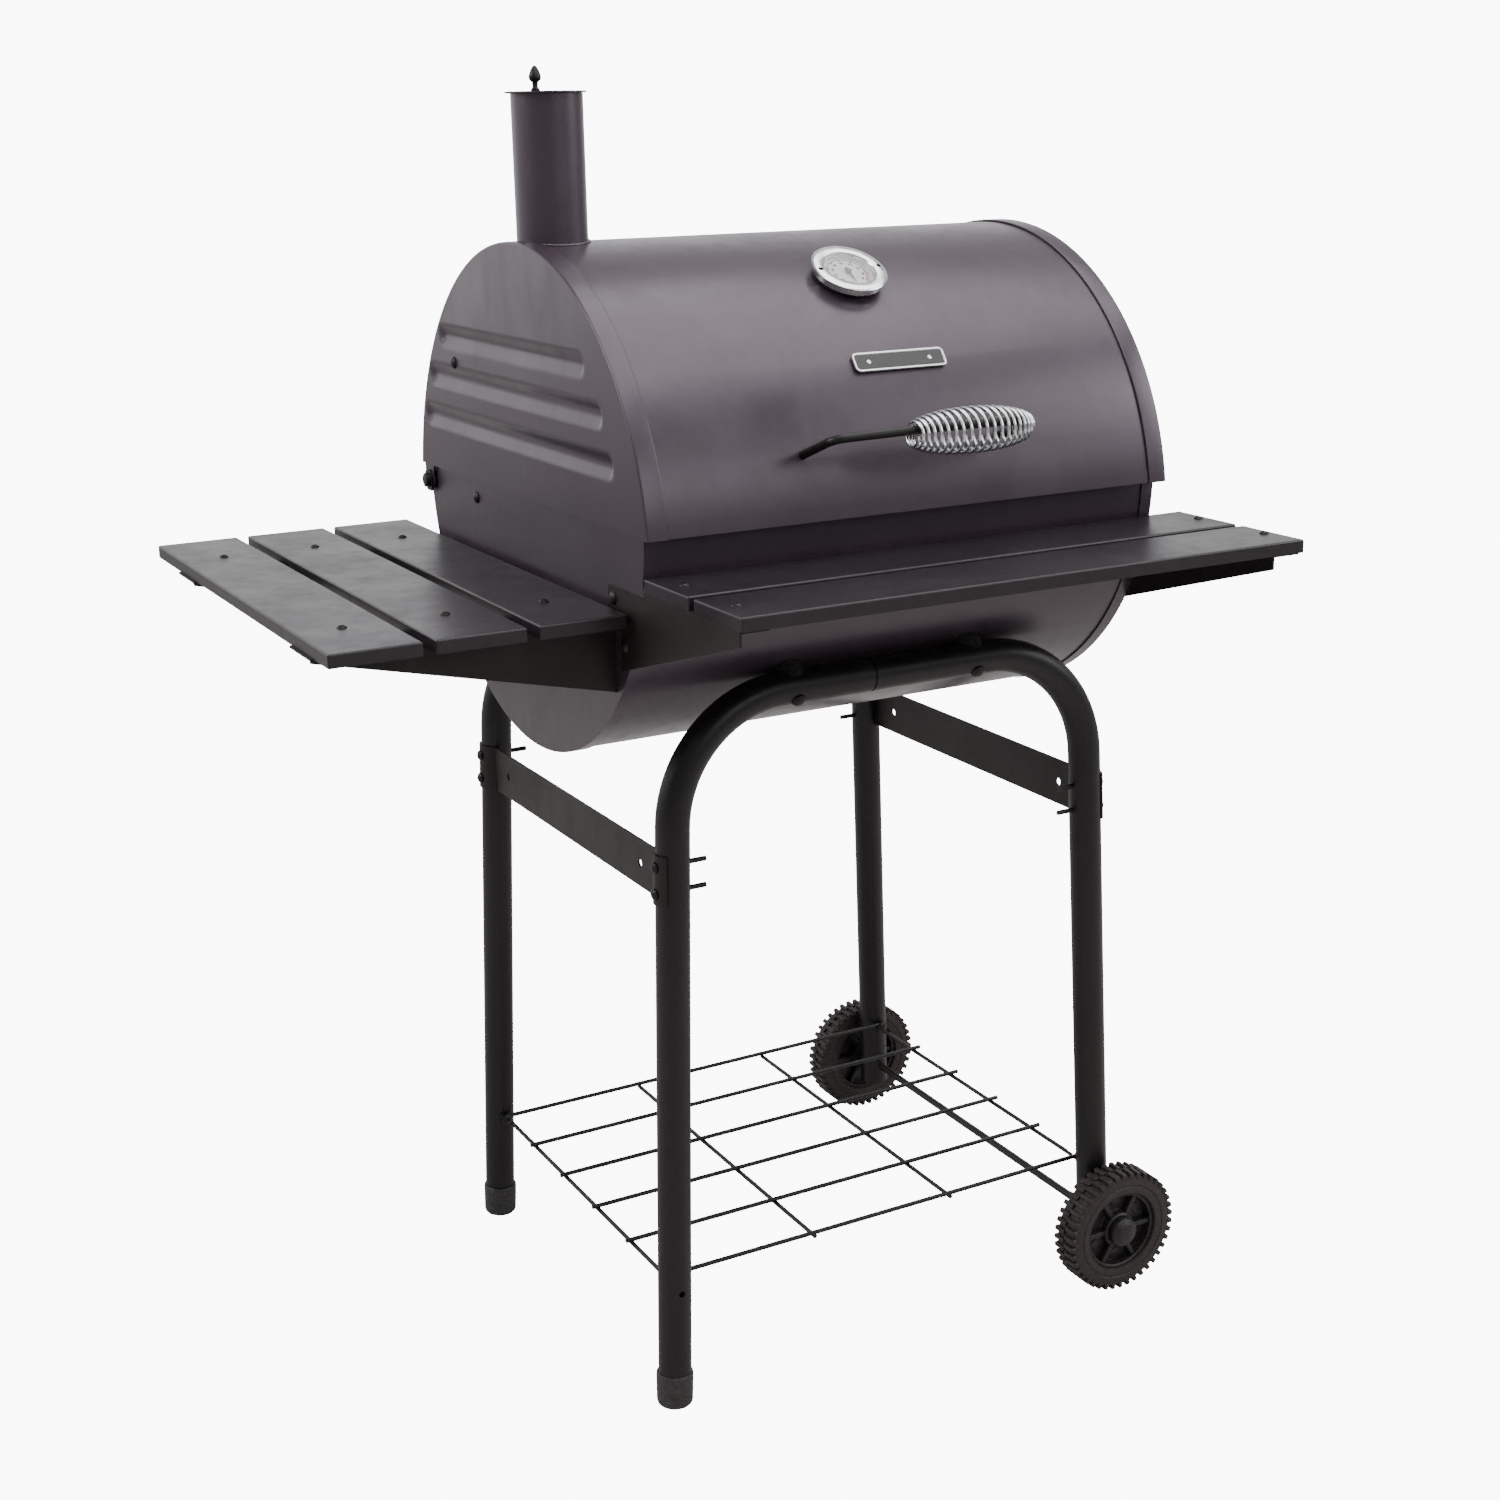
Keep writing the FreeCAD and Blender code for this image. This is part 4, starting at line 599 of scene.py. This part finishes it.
RIM = [(42.4, -11.5), (42.4, 11.8), (40.2, 12.4), (38.6, 11.2), (38.0, 4.0), (37.0, 2.2),
       (20.5, 2.2), (19.4, 3.4), (18.6, 10.0), (17.2, 11.4), (6.0, 11.4), (6.0, -11.0),
       (18.0, -11.0), (19.0, -2.2), (37.5, -2.2), (38.6, -11.5), (42.4, -11.5)]
HUB_CAP = [(0.0, 23.8), (5.0, 23.6), (9.5, 22.6), (11.8, 21.4), (12.4, 20.6), (13.6, 20.2),
           (15.2, 18.6), (15.9, 16.4), (15.9, 12.6), (15.2, 11.6), (0.0, 11.6)]


def wheel(name, body, outward):
    middle = centre_of("wheel_" + name)
    turn = Matrix.Rotation(math.radians(-90 * outward), 4, "X")
    place = Matrix.Translation((middle.x, middle.y, WHEEL_RADIUS)) @ turn
    bm = bmesh.new()
    lathe(bm, TYRE, place, 120)
    for row, height in enumerate((-LUG_ROW, LUG_ROW)):
        for step in range(LUGS_IN_ROW):
            lug = spun(2 * math.pi * (step + row / 2) / LUGS_IN_ROW) @ shift(LUG_RADIUS, 0, height)
            block(bm, LUG_SIZE, place @ lug, 0.9)
    piece("tyre_" + name, bm, tyre_plastic, body, ("wheel_" + name,), smooth=35)

    bm = bmesh.new()
    lathe(bm, RIM, place, 96)
    for step in range(SPOKES):
        angle = 2 * math.pi * step / SPOKES
        block(bm, SPOKE_SIZE, place @ spun(angle) @ shift(SPOKE_RADIUS, 0, 0), 1.3, 3)
        web = spun(angle + math.pi / SPOKES) @ shift(WEB_RADIUS, 0, 2.0)
        block(bm, (9.0, 13.0, 2.2), place @ web, 1.0, 2)
    piece("rim_" + name, bm, rim_plastic, body, smooth=35)

    bm = bmesh.new()
    lathe(bm, HUB_CAP, place, 64)
    piece("hub_cap_dome_" + name, bm, rim_plastic, body, ("hub_cap_" + name,), smooth=35)


# ------------------------------------------------------------------ thermometer
THERMOMETER_TILT = math.radians(30.5)
BEZEL = [(24.2, 5.7), (24.2, 10.9), (25.0, 12.1), (26.6, 12.7), (33.6, 12.3), (35.2, 11.8),
         (35.9, 11.1), (35.6, 10.5), (34.0, 10.2), (33.4, 9.6), (33.4, 4.2), (32.8, 3.2),
         (5.4, 3.2), (5.4, 5.7), (24.2, 5.7)]
BEZEL_SCREW = [(0, 0.95), (1.6, 0.8), (2.8, 0.1), (2.8, -0.8), (0, -0.8)]
BEZEL_SCREW_RADIUS = 30.2
BEZEL_SCREW_SEAT = 12.1
DIAL_TOP = 6.7
DIAL_SWEEP = 270
DIAL_STEPS = 40
MARK_END = 21.0
LABEL_RADIUS = 14.6
HOT_STEPS = 8
HOT_RADIUS = 17.8


def dial_spot(angle, radius):
    """A spot on the dial, turned by angle from the top of its face."""
    return spun(angle) @ shift(0, radius, DIAL_TOP)


def thermometer():
    place = tilted(THERMOMETER_TILT, centre_of("thermometer_case").x)
    bm = bmesh.new()
    lathe(bm, BEZEL, place, 96)
    piece("thermometer_bezel", bm, bezel_steel, "lid", ("thermometer_case",), smooth=30)

    # The bezel's screw heads are coloured entirely in the painted recess shade, so that they show
    # as dark notches.
    bm = bmesh.new()
    for side in (-1, 1):
        head = shift(side * BEZEL_SCREW_RADIUS, 0, BEZEL_SCREW_SEAT)
        lathe(bm, BEZEL_SCREW, place @ head, 24)
    piece("bezel_screws", bm, recess_painted_shade, "lid", smooth=30)

    bm = bmesh.new()
    for step in range(DIAL_STEPS + 1):
        angle = math.radians(-DIAL_SWEEP / 2 + DIAL_SWEEP * step / DIAL_STEPS)
        long = step % 5 == 0
        width, reach = (1.1, 3.4) if long else (0.6, 1.8)
        block(bm, (width, reach, 0.3), place @ dial_spot(angle, MARK_END - reach / 2))
        if long:
            label = place @ dial_spot(angle, LABEL_RADIUS)
            for across in (-1.3, 0.0, 1.3):
                block(bm, (0.8, 2.1, 0.3), label @ shift(across, 0, 0))
    piece("dial_marks", bm, dial_ink, "lid", smooth=30)

    bm = bmesh.new()
    for step in range(HOT_STEPS + 1):
        angle = math.radians(80 + 50 * step / HOT_STEPS)
        block(bm, (2.3, 1.5, 0.26), place @ dial_spot(-angle, HOT_RADIUS))
    piece("dial_hot_band", bm, dial_red, "lid", smooth=30)


# ------------------------------------------------------------------ name plate, left blank
PLATE_TILT = math.radians(52.8)
PLATE_LENGTH = 95.4 * MM
PLATE_HEIGHT = 18.6 * MM
PLATE_CORNER = 4.5 * MM
PLATE_BORDER = 1.5 * MM
PLATE_THICKNESS = 2.3 * MM
PLATE_FACE = 3.9                    # from the lid's skin to the plate's face, in mm
STUD_X = 32
STUD = [(0, 2.0), (1.5, 2.0), (1.5, -4.8), (0, -4.8)]
STUD_HEAD = [(0, 4.0), (1.2, 3.8), (2.2, 3.2), (0, 3.2)]


def name_plate():
    place = tilted(PLATE_TILT, centre_of("name_plate").x)
    bm = bmesh.new()
    outline = Matrix.Diagonal((PLATE_LENGTH, PLATE_HEIGHT, 1, 1))
    plate = bmesh.ops.create_grid(bm, x_segments=1, y_segments=1, size=0.5, matrix=outline)
    bmesh.ops.bevel(bm, geom=plate["verts"], offset=PLATE_CORNER, segments=8, affect="VERTICES",
                    profile=0.5, material=-1)
    panel = next(iter(bm.faces))
    bmesh.ops.inset_individual(bm, faces=[panel], thickness=PLATE_BORDER, depth=0.0)
    bmesh.ops.inset_individual(bm, faces=[panel], thickness=0.5 * MM, depth=-0.6 * MM)
    panel.material_index = 1
    rim = [e for e in bm.edges if e.is_boundary]
    skirt = bmesh.ops.extrude_edge_only(bm, edges=rim)
    low = [v for v in skirt["geom"] if isinstance(v, bmesh.types.BMVert)]
    bmesh.ops.translate(bm, verts=low, vec=(0, 0, -PLATE_THICKNESS))
    bmesh.ops.holes_fill(bm, edges=[e for e in bm.edges if e.is_boundary], sides=0)
    bmesh.ops.transform(bm, matrix=place @ shift(0, 0, PLATE_FACE), verts=bm.verts)
    for side in (-1, 1):
        stud = place @ shift(side * STUD_X, 0, 0)
        lathe(bm, STUD, stud, 16)
        lathe(bm, STUD_HEAD, stud, 20)
    finish = [plate_metal, plate_ink]
    piece("blank_plate", bm, finish, "lid", ("name_plate",), smooth=30)


# ------------------------------------------------------------------ stack weld, acorn knob
WELD_STEPS = 144
WELD_RIPPLES = 41
WELD_RIPPLE = 0.25 * MM
WELD_RADIUS = 1.7 * MM
WELD_OUT = 0.6 * MM                 # its middle stands this far off the stack
WELD_UP = 0.4 * MM                  # and this far off the lid
ACORN = [(0.0, 44.4), (1.6, 43.9), (2.6, 42.4), (3.8, 40.2), (4.8, 37.8), (5.5, 35.6), (5.7, 34.0),
         (5.4, 32.4), (4.3, 31.0), (3.0, 30.2), (2.6, 29.2), (2.6, 25.6), (3.1, 24.6), (4.0, 23.9),
         (4.1, 22.4), (3.9, 21.95), (2.45, 21.9), (2.45, 6.0), (4.3, 5.6), (4.4, 0.6), (0.0, 0.2)]


def stack_weld():
    low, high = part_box("smokestack")
    x = (low.x + high.x) / 2
    radius = (high.y - low.y) / 2 + WELD_OUT
    points = []
    for step in range(WELD_STEPS):
        turn = 2 * math.pi * step / WELD_STEPS
        reach = radius + WELD_RIPPLE * math.sin(turn * WELD_RIPPLES)
        y = reach * math.sin(turn)
        z = LID_AXIS_Z + math.sqrt(LID_RADIUS ** 2 - y ** 2)
        points.append(Vector((x + reach * math.cos(turn), BARREL_Y + y, z + WELD_UP)))
    wire("stack_weld", points, WELD_RADIUS, barrel_coat, "lid", 2, closed=True)


def acorn_knob():
    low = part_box("stack_damper_knob")[0]
    middle = centre_of("stack_damper_knob")
    bm = bmesh.new()
    lathe(bm, ACORN, Matrix.Translation((middle.x, middle.y, low.z)), 40)
    piece("acorn_knob", bm, black_steel, "stack_damper", ("stack_damper_knob",), smooth=40)


# ------------------------------------------------------------------ shelf screws
SCREW_SEAT = -2.4                   # the head's underside, from its top
PAN_HEAD = [(0.0, -1.25), (1.0, -1.2), (1.15, -0.25), (2.2, -0.45), (3.5, -1.05), (4.35, -1.85),
            (4.55, SCREW_SEAT), (2.4, SCREW_SEAT)]
RECESS = (4.9, 0.95, 0.6)
NUT_RADIUS = 4.3 * MM
NUT_DEPTH = 3.9 * MM
NUT_BELOW_SEAT = 16.0


def solid_boxes(node):
    """The low and high corner of each separate solid of a node, from left to right."""
    source = bmesh.new()
    source.from_mesh(nodes[node].data)
    bmesh.ops.remove_doubles(source, verts=source.verts, dist=10 * MERGE)
    boxes = []
    waiting = set(source.verts)
    while waiting:
        island = {waiting.pop()}
        edge = set(island)
        while edge:
            edge = {e.other_vert(v) for v in edge for e in v.link_edges} - island
            island |= edge
        waiting -= island
        boxes.append([tuple(pick(v.co[axis] for v in island) for axis in range(3))
                      for pick in (min, max)])
    source.free()
    return sorted(boxes)


def shelf_screws():
    """Pan heads with a cross recess, where the plain screws of the shelves stand."""
    bm = bmesh.new()
    for count, (low, high) in enumerate(solid_boxes("shelf_screws")):
        centre = ((low[0] + high[0]) / 2, (low[1] + high[1]) / 2, high[2])
        place = Matrix.Translation(centre) @ spun(0.7 + 1.9 * count)
        end = (low[2] - high[2]) / MM
        lathe(bm, PAN_HEAD + [(2.4, end + 0.5), (2.0, end + 0.05), (0.0, end + 0.05)], place, 32)
        # Each cross recess takes the painted recess shade, material slot 1.
        for quarter in range(2):
            slot = spun(math.pi / 2 * quarter) @ shift(0, 0, -0.62)
            block(bm, RECESS, place @ slot, material_index=1)
        nut = place @ shift(0, 0, SCREW_SEAT - NUT_BELOW_SEAT)
        bmesh.ops.create_cone(bm, cap_ends=True, segments=6, radius1=NUT_RADIUS,
                              radius2=NUT_RADIUS, depth=NUT_DEPTH, matrix=nut)
    finish = [black_steel, recess_painted_shade]
    piece("cross_head_screws", bm, finish, "cart", ("shelf_screws",), smooth=35)


# ------------------------------------------------------------------ foot caps
FOOT_LEAN_X = 0.037
FOOT_LEAN_Y = 0.022
FOOT_TO_EDGE = 18.6 * MM            # from a cap's middle to the side of the pair
FOOT_CAP = [(0.0, 0.0), (13.5, 0.0), (15.4, 0.8), (17.0, 2.6), (17.6, 5.0), (17.7, 12.0),
            (17.3, 12.6), (17.3, 13.6), (17.8, 14.2), (18.0, 31.5), (17.7, 33.6), (17.0, 34.6),
            (16.2, 34.8), (16.15, 2.4), (0.0, 2.4)]


def foot_caps():
    low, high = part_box("foot_caps")
    x = (low.x + high.x) / 2 - 0.6 * MM
    bm = bmesh.new()
    for side, y in ((-1, low.y + FOOT_TO_EDGE), (1, high.y - FOOT_TO_EDGE)):
        axis = Vector((FOOT_LEAN_X, -side * FOOT_LEAN_Y, 1)).normalized()
        turn = Vector((0, 0, 1)).rotation_difference(axis).to_matrix().to_4x4()
        lathe(bm, FOOT_CAP, Matrix.Translation((x, y, 0.7 * MM)) @ turn, 56)
    piece("foot_cap_pair", bm, foot_plastic, "cart", ("foot_caps",), smooth=35)


coil_grip()
lid_end(-1, "left")
lid_end(1, "right")
lid_hem()
wheel("front", "front_wheel", -1)
wheel("rear", "rear_wheel", 1)
thermometer()
name_plate()
stack_weld()
acorn_knob()
shelf_screws()
foot_caps()


# ------------------------------------------------------------------ floor, light and camera
ROOM_LIGHT = 0.42
BACK_WALL = 1.6
BACKDROP = 10.0
# name, place, what it faces, size in x and y, watts
SOFTBOXES = (
    ("Overhead", (0.45, -0.5, 3.2), (0.1, 0, 0.9), (3.6, 2.2), 92),
    ("Key left", (-3.2, 1.0, 2.7), (0, 0, 0.9), (1.6, 1.6), 90),
    ("Fill right", (2.9, -1.6, 2.3), (0.2, 0, 0.8), (1.8, 1.8), 60),
    ("Fill front", (0.9, -3.4, 2.3), (0.1, 0, 0.8), (2.2, 1.0), 24),
)
CAMERA_PLACE = (-0.92454, -1.79890, 1.19016)
CAMERA_RIGHT = (0.87704, -0.48010, -0.01769)
CAMERA_UP = (0.15095, 0.24043, 0.95886)
CAMERA_LENS = 51.59


def seen_and_lit(tree, lit, seen):
    """One shader for what the camera sees, another for the light that reaches the object."""
    w = Wiring(tree)
    choose = tree.nodes.new("ShaderNodeMixShader")
    w.feed(choose.inputs[0], tree.nodes.new("ShaderNodeLightPath").outputs["Is Camera Ray"])
    w.feed(choose.inputs[1], lit.outputs[0])
    w.feed(choose.inputs[2], seen.outputs[0])
    return choose.outputs[0]


def floor():
    bpy.ops.mesh.primitive_plane_add(size=14, location=(0, 2, -0.0005))
    plane = bpy.context.object
    plane.name = "studio_floor"
    pale = bpy.data.materials.new("Studio floor")
    pale.use_nodes = True
    tree = pale.node_tree
    surface = tree.nodes["Principled BSDF"]
    surface.inputs["Base Color"].default_value = (0.60, 0.58, 0.56, 1)
    surface.inputs["Roughness"].default_value = 0.9
    surface.inputs["Specular IOR Level"].default_value = 0.1
    glow = tree.nodes.new("ShaderNodeEmission")
    glow.inputs["Strength"].default_value = BACKDROP
    tree.links.new(seen_and_lit(tree, surface, glow), tree.nodes["Material Output"].inputs[0])
    plane.data.materials.append(pale)


def room():
    """Even light all round, brighter low down at the back."""
    world = bpy.data.worlds.new("Studio")
    world.use_nodes = True
    tree = world.node_tree
    w = Wiring(tree)
    lit = tree.nodes["Background"]
    lit.inputs["Color"].default_value = (0.99, 0.98, 1.0, 1)
    facing = tree.nodes.new("ShaderNodeSeparateXYZ")
    w.feed(facing.inputs[0], tree.nodes.new("ShaderNodeTexCoord").outputs["Generated"])
    low_band = w.fit(facing.outputs["Z"], 0.75, 0.30)
    back_wall = w.times(w.fit(facing.outputs["Y"], 0.15, 0.85), low_band)
    w.feed(lit.inputs["Strength"], w.fit(back_wall, 0.0, 1.0, ROOM_LIGHT, BACK_WALL))
    seen = tree.nodes.new("ShaderNodeBackground")
    seen.inputs["Color"].default_value = (1, 1, 1, 1)
    seen.inputs["Strength"].default_value = BACKDROP
    tree.links.new(seen_and_lit(tree, lit, seen), tree.nodes["World Output"].inputs[0])
    bpy.context.scene.world = world


def softbox(name, place, target, size, power):
    lamp = bpy.data.lights.new(name, "AREA")
    lamp.shape = "RECTANGLE"
    lamp.size, lamp.size_y = size
    lamp.energy = power
    holder = bpy.data.objects.new(name, lamp)
    holder.location = place
    holder.rotation_euler = (Vector(target) - Vector(place)).to_track_quat("-Z", "Y").to_euler()
    bpy.context.scene.collection.objects.link(holder)


def camera():
    lens = bpy.data.cameras.new("Camera")
    lens.lens = CAMERA_LENS
    lens.sensor_width = 36.0
    holder = bpy.data.objects.new("Camera", lens)
    right, up = Vector(CAMERA_RIGHT), Vector(CAMERA_UP)
    turn = Matrix((right, up, right.cross(up))).transposed().to_4x4()
    holder.matrix_world = Matrix.Translation(CAMERA_PLACE) @ turn
    bpy.context.scene.collection.objects.link(holder)
    bpy.context.scene.camera = holder


floor()
room()
for box in SOFTBOXES:
    softbox(*box)
camera()
